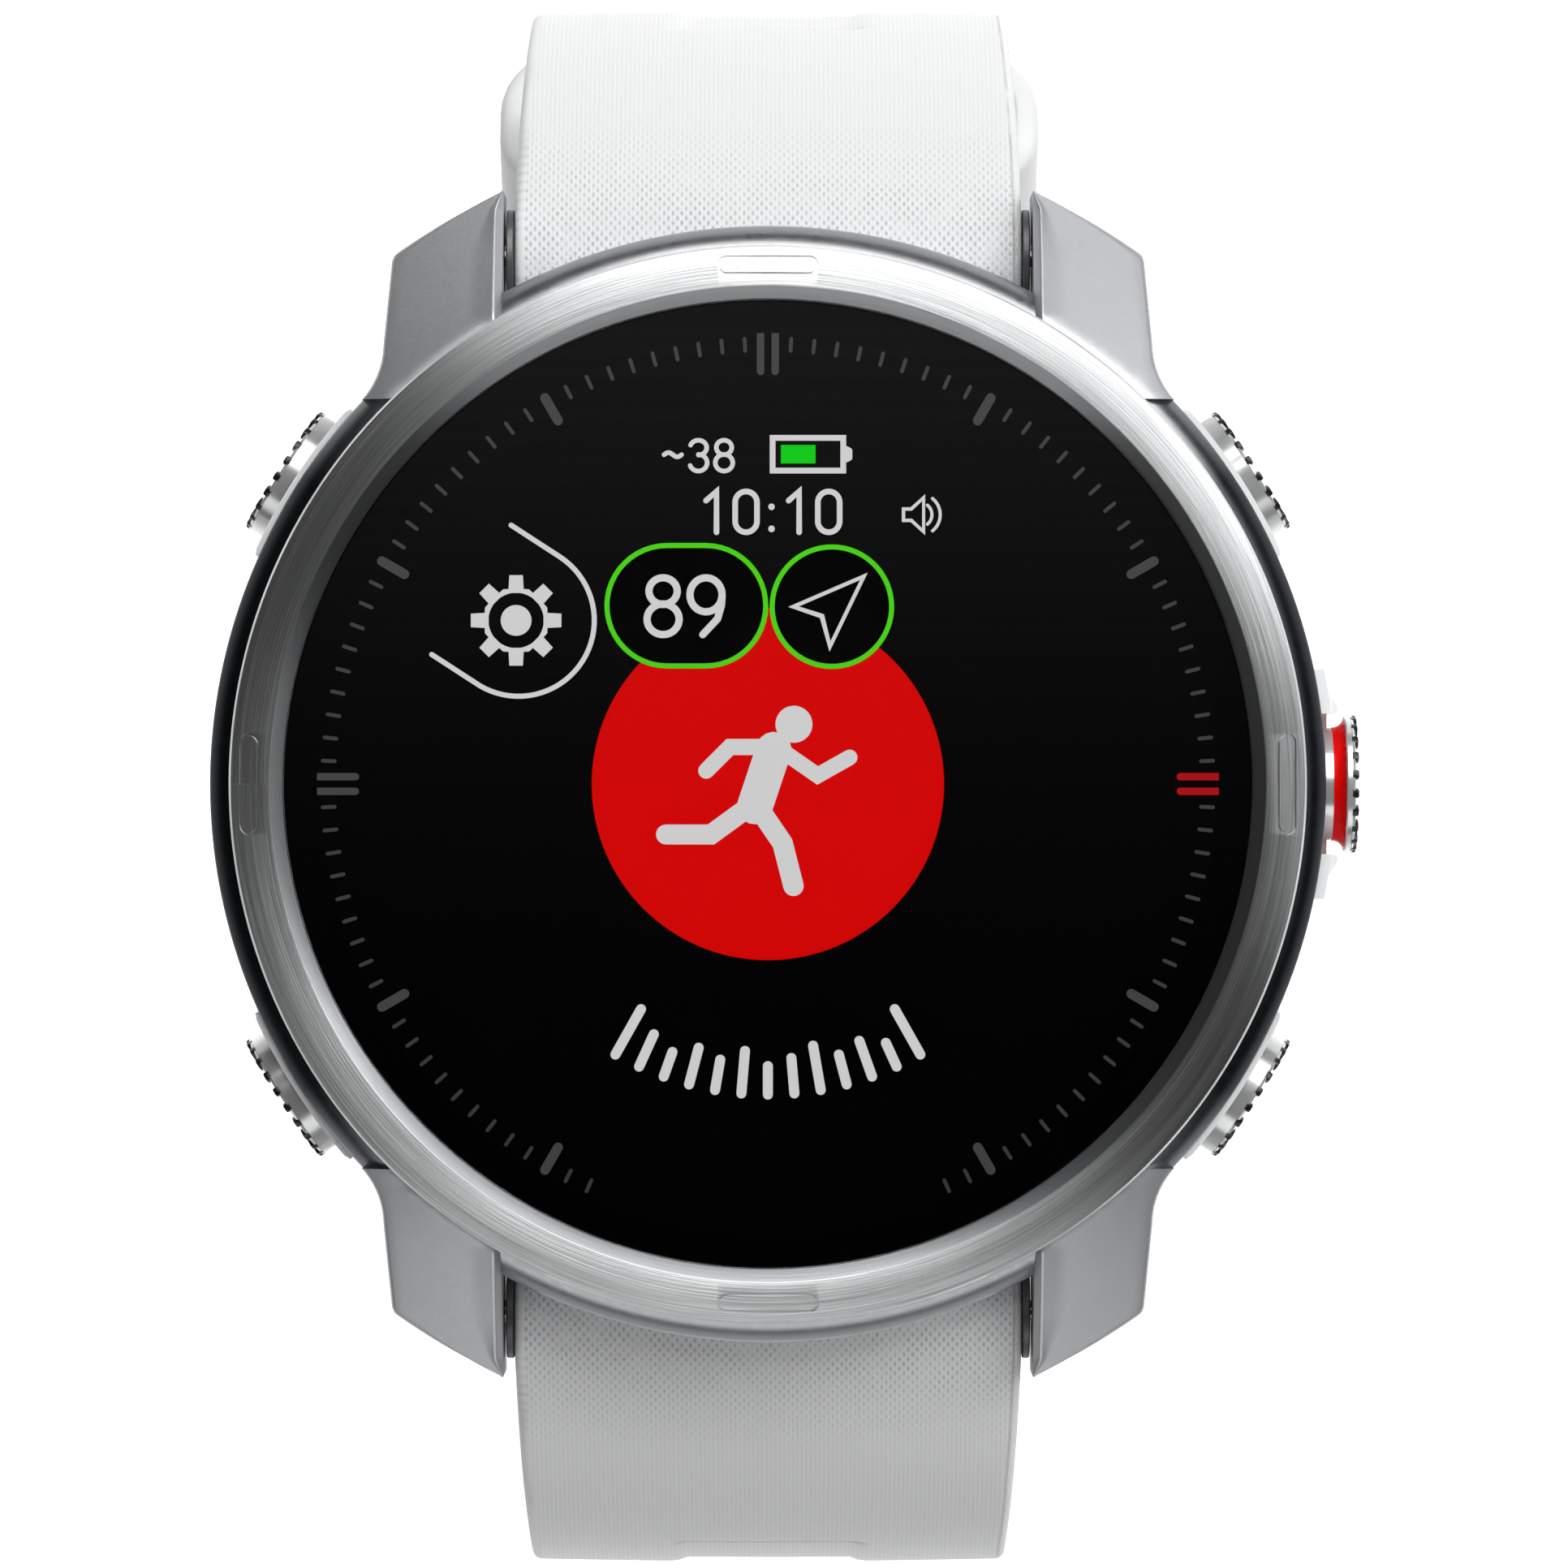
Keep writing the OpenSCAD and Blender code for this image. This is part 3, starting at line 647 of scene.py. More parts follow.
def soften(node_name, width, segments=2, angle=28):
    """Rounds a CAD node's sharp edges: its faces are welded, bevelled and shaded again."""
    obj = nodes[node_name]
    weld = obj.modifiers.new("weld", "WELD")
    weld.merge_threshold = 1e-7
    bevel = obj.modifiers.new("bevel", "BEVEL")
    bevel.width = width * MM
    bevel.segments = segments
    bevel.limit_method = "ANGLE"
    bevel.angle_limit = math.radians(angle)
    bevel.use_clamp_overlap = True
    normals = obj.modifiers.new("normals", "WEIGHTED_NORMAL")
    normals.keep_sharp = True


soften("case_body", 0.18, 3)
soften("back_cover", 0.06)


# ---------------------------------------------------------------- display

# Heights of the display's layers: bars and signs, then printed grounds, then what stands on those.
LOW = PANEL_TOP + 0.006
HIGH = PANEL_TOP + 0.03
GROUND = HIGH + 0.003
RAISED = HIGH + 0.004
RAISED_TOP = HIGH + 0.008


def line(points, width, closed=False):
    """A flat stroke of the display's lowest layer."""
    return ribbon(points, width, LOW, HIGH, closed)


def radial_bar(angle, inner, outer, width, shift=0.0):
    """A bar of the scale at an angle clockwise from 12 o'clock, moved sideways by shift."""
    t = math.radians(90 - angle)
    ux, uy = math.cos(t), math.sin(t)
    points = [(ux * r - uy * shift, uy * r + ux * shift) for r in (inner, outer)]
    return line(points, width)


def build_scale():
    ticks, hours, marks = [], [], []
    for tick in range(120):
        if tick % 10 and abs(tick - 60) > 7:
            ticks.append(radial_bar(3 * tick, 18.3, 18.8, 0.16))
    for hour in (1, 2, 4, 5, 7, 8, 10, 11):
        hours.append(radial_bar(30 * hour, 17.7, 18.8, 0.41))
    for hour in (0, 9):
        hours += [radial_bar(30 * hour, 17.4, 19.05, 0.31, side) for side in (-0.31, 0.31)]
    marks += [radial_bar(90, 17.4, 19.05, 0.31, side) for side in (-0.31, 0.31)]
    display_piece("minute_ticks", ticks, TICK)
    display_piece("hour_bars", hours, HOUR)
    display_piece("start_marks", marks, RED_MARK)


def digit(shape, x, y, w, h, stroke):
    """The strokes of one digit, a colon or a tilde in a box with its lower left corner at x, y."""
    cx, r = x + w / 2, w / 2
    mid = y + h * 0.53
    if shape == "0":
        path = arc(cx, y + h - r, r, r, 0, 180) + arc(cx, y + r, r, r, 180, 360)
        return [line(path, stroke, closed=True)]
    if shape == "1":
        stem = cx + w * 0.1
        return [line([(x + w * 0.12, y + h - w * 0.42), (stem, y + h), (stem, y)], stroke)]
    if shape == "3":
        upper = arc(cx, y + h * 0.76, r * 0.95, h * 0.24, 160, -90, 16)
        lower = arc(cx, y + h * 0.27, r, h * 0.27, 90, -160, 16)
        return [line(upper, stroke), line(lower, stroke)]
    if shape == "8":
        upper = arc(cx, y + h * 0.765, r * 0.88, h * 0.235, 0, 354, 24)
        lower = arc(cx, y + h * 0.27, r, h * 0.27, 0, 354, 24)
        return [line(p, stroke, closed=True) for p in (upper, lower)]
    if shape == "9":
        loop = arc(cx, y + h * 0.7, r, h * 0.3, 0, 354, 24)
        tail = [(cx + r, y + h * 0.7), (x + w * 0.98, y + h * 0.52), (x + w * 0.86, y + h * 0.28),
                (x + w * 0.4, y)]
        return [line(loop, stroke, closed=True), line(tail, stroke)]
    if shape == ":":
        return [line([(cx, y + h * k), (cx, y + h * k + 0.01)], stroke * 1.15) for k in (0.08, 0.62)]
    wave = [(x + w * k / 12, mid + h * 0.07 * math.sin(2 * math.pi * k / 12)) for k in range(13)]
    return [line(wave, stroke)]


def lifted(shapes):
    """The same shapes one layer higher, over the printed grounds."""
    return [([(x, y, z - LOW + RAISED) for x, y, z in verts], faces) for verts, faces in shapes]


def number(text, x, y, height, width, gap, stroke):
    shapes = []
    for c in text:
        w = width * (0.42 if c == ":" else 1)
        shapes += digit(c, x, y, w, height, stroke)
        x += w + gap
    return shapes


def rectangle(x, y, w, h):
    return [(x, y), (x + w, y), (x + w, y + h), (x, y + h)]


def battery_icon(x, y, w, h):
    """The battery's outline with its nub, and the charge inside."""
    stroke = 0.24
    shell = rectangle(x + stroke / 2, y + stroke / 2, w - stroke, h - stroke)
    end = x + w
    nub = rounded([(end, y + h * 0.28, 0.02), (end + 0.26, y + h * 0.36, 0.12),
                   (end + 0.26, y + h * 0.64, 0.12), (end, y + h * 0.72, 0.02)])
    outline = [line(shell, stroke, closed=True), prism([tuple(p) for p in nub], LOW, HIGH)]
    return outline, [prism(rectangle(x + 0.47, y + 0.42, 1.46, h - 0.84), LOW, HIGH)]


def speaker_icon(x, y):
    """A loudspeaker with two sound waves, its left middle at x, y."""
    body = [(x, y + 0.24), (x + 0.33, y + 0.24), (x + 0.85, y + 0.72),
            (x + 0.85, y - 0.72), (x + 0.33, y - 0.24), (x, y - 0.24)]
    shapes = [line(body, 0.14, closed=True)]
    for reach in (0.5, 0.85):
        shapes.append(line(arc(x + 0.7, y, reach, reach * 1.02, -52, 52, 12), 0.13))
    return shapes


def gear_icon(cx, cy):
    """A cog with eight teeth round a ring, and a dot."""
    outline = []
    for k in range(8):
        base = 45 * k
        for turn, reach in ((-13.5, 1.36), (-8.5, 1.93), (8.5, 1.93), (13.5, 1.36), (22.5, 1.42)):
            t = math.radians(base + turn)
            outline.append((cx + reach * math.cos(t), cy + reach * math.sin(t)))
    inner = []
    for px, py in outline:
        t = math.atan2(py - cy, px - cx)
        inner.append((cx + 1.17 * math.cos(t), cy + 1.17 * math.sin(t)))
    verts = [(px, py, z) for z in (LOW, HIGH) for ring in (outline, inner) for px, py in ring]
    return [(verts, band_faces(len(outline))), prism(arc(cx, cy, 0.65, 0.65, 0, 350, 35), LOW, HIGH)]


def selector_line(cx, cy):
    """The curved line that opens to the left round the cog."""
    reach = 3.2
    start = 90 - 33
    bend = arc(cx + 0.1, cy, reach, reach, start, start - 180 + 2, 36)
    back = (-math.cos(math.radians(33)), math.sin(math.radians(33)))
    first = (bend[0][0] + 2.45 * back[0], bend[0][1] + 2.45 * back[1])
    last = (bend[-1][0] + 2.4 * back[0], bend[-1][1] + 2.4 * back[1])
    return [line([first] + bend + [last], 0.21)]


def arrow_icon(cx, cy):
    """An outlined compass arrow pointing to the upper right."""
    tips = [(cx + 1.35, cy + 1.28), (cx - 1.62, cy + 0.0), (cx - 0.42, cy - 0.40), (cx - 0.08, cy - 1.68)]
    return [line(tips, 0.2, closed=True)]


def runner():
    """A plain running figure: capsule limbs and a round head."""
    limbs = [
        ([(0.25, 1.45), (-0.55, -0.95)], 1.5),
        ([(0.3, 1.56), (-1.6, 1.56), (-2.6, 0.56)], 0.68),
        ([(0.6, 1.4), (2.1, 0.36), (3.45, 1.12)], 0.66),
        ([(-0.85, -1.0), (-2.4, -2.13), (-4.3, -2.13)], 0.84),
        ([(-0.4, -1.0), (0.62, -2.5), (1.08, -4.3)], 0.86),
    ]
    shapes = [ribbon(points, width, RAISED, RAISED_TOP) for points, width in limbs]
    return shapes + [prism(arc(1.1, 2.52, 0.78, 0.78, 0, 350, 35), RAISED, RAISED_TOP)]


def activity_bars():
    """A plain bar chart that follows a curve below the disc."""
    shapes = []
    lengths = (2.2, 1.5, 1.1, 1.6, 1.3, 1.8, 1.2, 1.5, 1.9, 1.3, 1.6, 1.1, 2.2)
    for k, length in enumerate(lengths):
        t = math.radians(-90 + 4.9 * (k - 6))
        points = [(reach * math.cos(t), reach * math.sin(t)) for reach in (13.1 - length, 13.1)]
        shapes.append(line(points, 0.42))
    return shapes


def build_graphics():
    white = number("~38", -4.38, 13.2, 1.3, 0.74, 0.34, 0.19)
    white += number("10:10", -2.72, 10.62, 1.72, 0.92, 0.42, 0.235)
    outline, charge = battery_icon(0.08, 13.1, 3.22, 1.62)
    white += outline + speaker_icon(5.72, 11.36)
    white += gear_icon(-10.62, 6.9) + selector_line(-10.62, 6.9) + activity_bars()
    white += lifted(number("89", -5.1, 6.3, 2.4, 1.36, 0.45, 0.3) + arrow_icon(2.7, 7.48))
    display_piece("display_glyphs", white, GLYPH)
    display_piece("display_charge", charge, CHARGE)
    pill = arc(-1.33 - 1.3, 7.52, 2.54, 2.54, -90, 90, 24) + arc(-4.25, 7.52, 2.54, 2.54, 90, 270, 24)
    circle = arc(2.7, 7.48, 2.52, 2.52, 0, 355, 71)
    rings = [ribbon(path, 0.21, RAISED, RAISED_TOP, closed=True) for path in (pill, circle)]
    display_piece("display_rings", rings, GREEN)
    grounds = [prism(path, HIGH, GROUND) for path in (pill, circle)]
    display_piece("display_grounds", grounds, BLACKED)
    disc = prism(arc(0, 0, 7.43, 7.43, 0, 357, 119), LOW, HIGH)
    display_piece("display_disc", [disc], RED_DISC)
    display_piece("display_runner", runner(), GLYPH)


def build_border():
    """The black print under the edge of the glass."""
    outline = [(GLASS_R - 1.35, GLASS_BOTTOM + 0.03), (GLASS_R - 0.02, GLASS_BOTTOM + 0.03),
               (GLASS_R - 0.02, GLASS_BOTTOM + 0.06), (GLASS_R - 1.35, GLASS_BOTTOM + 0.06)]
    # The print shares the display's material, with its painted light towards the top.
    place("glass_border", lathe("glass_border", outline), "case", SCREEN)


build_scale()
build_graphics()
build_border()


# ---------------------------------------------------------------- lugs

LIP_R = 23.62
LIP_TURN = 8.2  # half the angle that the lip over a corner button spans
LUG_IN = 11.3
LUG_TIP_R = 27.7
FILLET = (19.95, 18.62, 3.5)
LUG_SLOPE = 0.68


def lug_outer(y):
    """The lug's outer side at y along the strap: a fillet from the case, a side, then the round tip."""
    x, cy, r = FILLET
    if y < cy:
        return x - math.sqrt(max(0.0, r * r - (y - cy) ** 2))
    side = x - r - 0.08 * (y - cy)
    tip = math.sqrt(max(0.0, LUG_TIP_R ** 2 - y * y))
    blend = 0.25
    h = max(0.0, min(1.0, 0.5 + 0.5 * (tip - side) / blend))
    return max(LUG_IN + 0.05, mix(tip, side, h) - blend * h * (1 - h))


def lug_top(x, y):
    """The lug's top falls away outwards from the edge of the bezel."""
    return 10.45 - LUG_SLOPE * max(0.0, math.hypot(x, y) - 22.76)


def build_lugs():
    verts, faces = [], []
    rows = [16.3 + 0.2 * k for k in range(31)] + [22.5 + 0.08 * k for k in range(36)]
    for flip_x in (1, -1):
        for flip_y in (1, -1):
            base = len(verts)
            for y in rows:
                out = lug_outer(y)
                small = min(1.0, (out - LUG_IN) / 1.6)
                rim = out - 0.12 * small
                tops = [mix(rim, LUG_IN + 0.3 * small, k / 8) for k in range(1, 8)]
                corners = [(LUG_IN, 1.32, 0.15 * small), (out - 0.25 * small, 1.32, 0.5 * small),
                           (out, 3.4, 0.6 * small), (rim, lug_top(rim, y), 0.3 * small),
                           *[(x, lug_top(x, y), 0) for x in tops],
                           (LUG_IN + 0.3 * small, lug_top(LUG_IN, y), 0.12 * small),
                           (LUG_IN, lug_top(LUG_IN, y) - 0.4 * small, 0.12 * small)]
                ring = rounded(corners, 5)
                verts += [(flip_x * x, flip_y * y, z) for x, z in ring]
            faces += [[i + base for i in f] for f in grid_faces(len(rows), len(ring))]
    place("lugs", mesh_of("lugs", verts, faces), "case", LUG, 50)


def build_bezel():
    """The bezel with its gently falling brushed face and four engraved outlines."""
    drop = 0.42
    low = BEZEL_TOP - drop
    outline = [(19.3, 10), (BEZEL_R, 10), (BEZEL_R, low - 0.3), (BEZEL_R - 0.1, low),
               (20.98, BEZEL_TOP - 0.01), (20.92, BEZEL_TOP - 0.03), (20.43, GLASS_TOP - 0.02),
               (20.43, 11.3), (19.3, 11.3)]
    piece = place("bezel_ring", lathe("bezel_ring", outline, 256), "case", STEEL, 30)
    tools = []
    lean = math.atan2(drop, BEZEL_R - 21.0)
    half_l, half_w = 1.72, 0.37
    path = arc(0, half_l, half_w, half_w, 0, 180, 12) + arc(0, -half_l, half_w, half_w, 180, 360, 12)
    for turn in range(4):
        mesh = mesh_of("mark", *ribbon(path, 0.11, -0.1, 0.6, closed=True))
        mesh.transform(Matrix.Rotation(math.radians(90 * turn), 4, "Z")
                       @ Matrix.Translation(Vector((21.83, 0, BEZEL_TOP - drop * 0.5)) * MM)
                       @ Matrix.Rotation(lean, 4, "Y"))
        tools.append(tool_object(mesh))
    cut(piece, *tools)
    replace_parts(piece, "bezel")


def build_button_lips():
    """A thin white lip of the case over each corner button's cap."""
    for b, angle in BUTTONS.items():
        if b != "start":
            path = arc(0, 0, LIP_R, LIP_R, angle - LIP_TURN, angle + LIP_TURN, 24)
            mesh = mesh_of(f"lip_{b}", *ribbon(path, 0.62, 8.38, 8.7))
            place(f"lip_{b}", mesh, "case", POLYMER, 40)


def build_shoulder():
    """The ring under the bezel, with a polished dark band round its outside, its colour a painted
    reflection.
    """
    ring = [(19.3, 8.4), (23.3, 8.4), (23.5, 8.6), (23.52, 9.1), (22.8, 9.96), (19.3, 9.96)]
    piece = place("shoulder", lathe("shoulder", ring, 256), "case", LUG, 50)
    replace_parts(piece, "lug_frame")
    band = [(22.74, 9.9), (22.76, 10.06), (22.84, 10.05), (23.6, 9.3), (23.68, 9.1), (23.5, 8.95),
            (23.3, 9.2)]
    place("shoulder_band", lathe("shoulder_band", band, 256), "case", BAND, 50)


def build_guards():
    """The case's two low cheeks that rise towards the start button."""
    for side in (1, -1):
        plan = rounded([(22.6, 3.02, 0), (24.2, 3.02, 0.12), (24.25, 3.25, 0.25), (23.15, 4.98, 0.8),
                        (22.6, 5.15, 0)], 5)
        plan = [(x, side * y) for x, y in plan]
        name = "cheek_upper" if side > 0 else "cheek_lower"
        place(name, mesh_of(name, *prism(plan, 2.1, 8.1)), "case", POLYMER, 40)


build_lugs()
build_guards()
build_shoulder()
build_bezel()
build_button_lips()


# ---------------------------------------------------------------- buttons

def button_matrix(angle):
    """Stands a piece made along Z on a button's axis, with Z as the distance from the watch's middle."""
    turn = Matrix.Rotation(math.radians(angle), 4, "Z") @ Matrix.Rotation(math.pi / 2, 4, "Y")
    return Matrix.Translation((0, 0, BUTTON_Z * MM)) @ turn


def turned(name, outline, angle, body, material=BUTTON):
    """A turned piece of a button, from an outline whose heights are distances from the watch's middle."""
    mesh = lathe(name, outline, 96)
    mesh.transform(button_matrix(angle))
    return place(name, mesh, body, material, 40)


def face_rim(name, angle, face, body):
    """The rounded rim that the teeth stand on."""
    outline = [(2.35, face - 0.03), (CAP_R - 0.02, face - 0.07), (CAP_R + 0.012, face - 0.03),
               (CAP_R - 0.03, face + 0.04), (CAP_R - 0.12, face + 0.07), (2.35, face + 0.07)]
    turned(name, outline, angle, body)


TEETH = 22


def knurl(name, angle, face, body):
    """Small rounded teeth round the rim of a button's face, their polished steel coloured near black as
    painted shade.
    """
    bm = bmesh.new()
    for k in range(TEETH):
        made = bmesh.ops.create_cube(bm, size=1)["verts"]
        t = 2 * math.pi * (k + 0.5) / TEETH
        turn = Matrix.Rotation(t, 4, "Z")
        shift = Matrix.Translation(((CAP_R - 0.24) * MM, 0, (face + 0.03) * MM))
        size = Matrix.Diagonal((0.5 * MM, 0.4 * MM, 0.34 * MM, 1))
        bmesh.ops.transform(bm, verts=made, matrix=turn @ shift @ size)
    bmesh.ops.bevel(bm, geom=list(bm.edges), offset=0.09 * MM, segments=2, affect="EDGES", profile=0.5)
    mesh = mesh_from(name, bm)
    mesh.transform(button_matrix(angle))
    place(name, mesh, body, KNURL, 40)


START_OUT = 24.95


def start_cap():
    """The start button: a turned stem, a red ring that flares outwards and a flange."""
    flange = [(2.3, 24.62), (CAP_R - 0.06, 24.62), (CAP_R, 24.68), (CAP_R, START_OUT - 0.08),
              (CAP_R - 0.1, START_OUT), (0, START_OUT), (0, 24.3), (2.3, 24.3)]
    stem = [(0, 17.3), (1.1, 17.3), (1.1, 22.4), (2.3, 22.4), (2.4, 22.5), (2.4, 24.12),
            (2.3, 24.2), (0, 24.3)]
    curve = []
    for k in range(9):
        t = k * math.pi / 16
        curve.append((2.43 + 0.44 * (1 - math.cos(t)), 24.1 + 0.51 * math.sin(t)))
    ring = [(2.2, 24.1)] + curve + [(2.2, 24.61)]
    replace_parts(turned("start_flange", flange, 0, "button_start"), "cap_start")
    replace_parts(turned("start_stem", stem, 0, "button_start"), "cap_start")
    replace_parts(turned("start_flare", ring, 0, "button_start", RED), "start_ring")


def corner_head(name, angle, body):
    """The crowned end of a corner button's cap."""
    outline = [(0, CORNER_FACE - 0.3), (CAP_R, CORNER_FACE - 0.3), (CAP_R, CORNER_OUT - 0.08),
               (CAP_R - 0.1, CORNER_OUT), (0, CORNER_OUT)]
    turned(name, outline, angle, body)


for b, angle in BUTTONS.items():
    face = START_OUT if b == "start" else CORNER_OUT
    if b != "start":
        corner_head(f"head_{b}", angle, f"button_{b}")
    face_rim(f"rim_{b}", angle, face, f"button_{b}")
    knurl(f"knurl_{b}", angle, face, f"button_{b}")
start_cap()


# ---------------------------------------------------------------- strap

def strap_place(s, arc_r):
    """(y, z, heading) of a strap half's middle line, s millimetres from its bar, for the half at +Y."""
    if s < 0:
        return BAR_Y + s * math.cos(ROOT_ANGLE), BAR_Z - s * math.sin(ROOT_ANGLE), -ROOT_ANGLE
    if s < TIGHT_LENGTH:
        heading = -ROOT_ANGLE - s / TIGHT_R
        side = heading + math.pi / 2
        return TIGHT_Y + TIGHT_R * math.cos(side), TIGHT_Z + TIGHT_R * math.sin(side), heading
    a = (s - TIGHT_LENGTH) / arc_r
    y = STRAP_SIDE - arc_r + arc_r * math.cos(a)
    return y, TIGHT_Z - arc_r * math.sin(a), -math.pi / 2 - a


def on_strap(s, x, n, arc_r, flip=1):
    """The point x across and n outwards from the middle line; flip is -1 for the half at -Y."""
    y, z, heading = strap_place(s, arc_r)
    return (x, flip * (y - n * math.sin(heading)), z + n * math.cos(heading))


def section(half_w, half_t, crown):
    """Points (x, n, weave) round the strap's rounded section, with the outer face first."""
    crown = min(crown, 0.2 * half_t)
    edge = min(0.4, half_t * 0.55, half_w * 0.5)
    low = min(0.4, half_t * 0.4, half_w * 0.4)
    out = []
    parts = 56
    for k in range(parts + 1):
        x = (half_w - edge) * (1 - 2 * k / parts)
        out.append((x, half_t - crown * (x / half_w) ** 2, 1.0))
    drop = crown * ((half_w - edge) / half_w) ** 2
    side, shoulder = half_w - edge, half_t - drop - edge
    foot, floor = half_w - low, low - half_t
    left = arc(-side, shoulder, edge, edge, 90, 180, 5)[1:]
    right = arc(side, shoulder, edge, edge, 0, 90, 5)[:-1]
    under = arc(-foot, floor, low, low, 180, 270, 4)
    under += [(-foot + 2 * foot * k / 20, -half_t) for k in range(1, 20)]
    under += arc(foot, floor, low, low, 270, 360, 4)
    out += [(x, n, 1 - 0.2 * k) for k, (x, n) in enumerate(left, 1)]
    out += [(x, n, 0.0) for x, n in under]
    return out + [(x, n, 0.2 * k) for k, (x, n) in enumerate(right)]


CROWN = 0.12
BARREL_R = 2.1
TAIL_TIP = 9.0
PANEL_FROM = 11.9
PANEL_TO = 27.0
PANEL_HALF = 4.1


def panel(x, s):
    """How deep the shallow panel beside the case lies at a point, from 0 to 1."""
    def step(d):
        return ease(d / 0.55)
    across = step(PANEL_HALF - abs(x))
    along = min(step(s - PANEL_FROM), step(PANEL_TO - s))
    groove = ease(1 - abs(s - PANEL_FROM - 0.25) / 0.3) * step(PANEL_HALF + 0.1 - abs(x))
    return 0.6 * across * along + 0.9 * groove


def strap_rows(length, end):
    """Distances along a strap half at which its mesh has a ring."""
    rows = [-BARREL_R * math.cos(math.radians(a)) for a in (8, 16, 26, 38, 50, 62, 76)]
    step = 0.45
    count = int((length - end) / step)
    rows += [(length - end) * k / count for k in range(count + 1)]
    rows += [PANEL_FROM - 0.35 + 0.09 * k for k in range(14)]
    return sorted(rows)


def root_half_thickness(s):
    """Half the thickness near the bar: the barrel round it runs into the strap."""
    if s < 0:
        return math.sqrt(max(0.01, BARREL_R ** 2 - s ** 2))
    return mix(BARREL_R, 1.52, ease(s / 4.5))


def half_width(s):
    """Half the strap's width: it narrows from the lugs to its straight part."""
    return mix(10.85, 10.38, ease(s / 15)) - 0.4 * ease((s - 20) / 60)


def strap_mesh(name, arc_r, flip, rows, width_at, thick_at):
    """A strap half's mesh, with its knit's coordinates in UV and its share of knit in an attribute."""
    verts, uvs, weave = [], [], []
    for s in rows:
        w, t = width_at(s), thick_at(s)
        ring = section(w, t, CROWN)
        girth = 0.0
        for i, (x, n, mark) in enumerate(ring):
            n -= 0.3 * panel(x, s) if n > 0 else 0
            verts.append(on_strap(s, x, n, arc_r, flip))
            if i and mark < 1:
                girth += math.dist(ring[i][:2], ring[i - 1][:2])
            uvs.append((x / 10 if mark == 1 else (x - math.copysign(girth, x)) / 10, s / 100))
            weave.append(mark)
    columns = len(ring)
    faces = grid_faces(len(rows), columns)
    mesh = bpy.data.meshes.new(name)
    mesh.from_pydata([Vector(v) * MM for v in verts], [], faces)
    layer = mesh.uv_layers.new(name="UVMap")
    for loop in mesh.loops:
        layer.data[loop.index].uv = uvs[loop.vertex_index]
    marks = mesh.attributes.new("weave", "FLOAT", "POINT")
    marks.data.foreach_set("value", weave)
    bm = bmesh.new()
    bm.from_mesh(mesh)
    bmesh.ops.recalc_face_normals(bm, faces=bm.faces)
    bm.to_mesh(mesh)
    bm.free()
    return mesh


def block(x, y, z, matrix):
    """A box between three (low, high) pairs in millimetres, put in place by a matrix."""
    corners = [(x[i], y[j], z[k]) for i in (0, 1) for j in (0, 1) for k in (0, 1)]
    faces = [[0, 1, 3, 2], [4, 6, 7, 5], [0, 4, 5, 1], [2, 3, 7, 6], [0, 2, 6, 4], [1, 5, 7, 3]]
    mesh = mesh_of("block", corners, faces)
    mesh.transform(matrix)
    return tool_object(mesh)


def local_frame(s, arc_r, flip):
    """A matrix from (x, along, outwards) at a point of the strap to the row frame."""
    y, z, heading = strap_place(s, arc_r)
    along = Vector((0, flip * math.cos(heading), math.sin(heading)))
    out = Vector((0, -flip * math.sin(heading), math.cos(heading)))
    matrix = Matrix.Identity(4)
    for column, axis in enumerate((Vector((1, 0, 0)), along, out)):
        for row in range(3):
            matrix[row][column] = axis[row]
    matrix.translation = Vector((0, flip * y, z)) * MM
    return matrix


HOLES = 9
HOLE_PITCH = 6.5
FIRST_HOLE = 20


def hole_tool(s):
    """A hole with softened rims at both faces of the strap."""
    outline = [(0, -3), (1.75, -3), (1.25, -1.0), (1.25, 0.95), (1.75, 3), (0, 3)]
    mesh = lathe("hole", outline, 48)
    mesh.transform(local_frame(s, TAIL_ARC_R, -1))
    mesh.flip_normals()
    return tool_object(mesh)


def lever_slot(flip):
    """The window in the strap's underside for the lever of its quick-release pin."""
    matrix = Matrix.Translation(Vector((0, flip * BAR_Y, BAR_Z)) * MM)
    return block((4.1, 7.0), (-0.75, 0.75), (-4, 0), matrix)


def tail_width(s):
    over = s - (TAIL_LENGTH - TAIL_TIP)
    if over <= 0:
        return half_width(s)
    return half_width(s) - TAIL_TIP + math.sqrt(max(0.02, TAIL_TIP ** 2 - over ** 2))


def tail_thickness(s):
    rim = 0.9
    over = s - (TAIL_LENGTH - rim)
    t = mix(root_half_thickness(s), 1.27, ease((s - 17) / 20))
    return t if over <= 0 else t * math.sqrt(max(0.12, 1 - (over / rim) ** 2))


def tail_rows():
    rows = strap_rows(TAIL_LENGTH, TAIL_TIP)
    rows += [TAIL_LENGTH - TAIL_TIP + TAIL_TIP * math.sin(math.radians(90 * k / 24)) for k in range(1, 24)]
    return rows + [TAIL_LENGTH - 0.005]


def build_tail():
    mesh = strap_mesh("strap_tail", TAIL_ARC_R, -1, tail_rows(), tail_width, tail_thickness)
    obj = place("strap_tail", mesh, "strap_bottom", SILICONE)
    holes = [hole_tool(TIGHT_LENGTH + FIRST_HOLE + HOLE_PITCH * k) for k in range(HOLES)]
    cut(obj, lever_slot(-1), *holes)
    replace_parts(obj, "strap_tail_half")


BUCKLE_BAR_AT = 1.9
BUCKLE_END_R = 1.5


def buckle_width(s):
    return half_width(s) - 0.75 * ease((s - BUCKLE_LENGTH + 1.5) / 1.5)


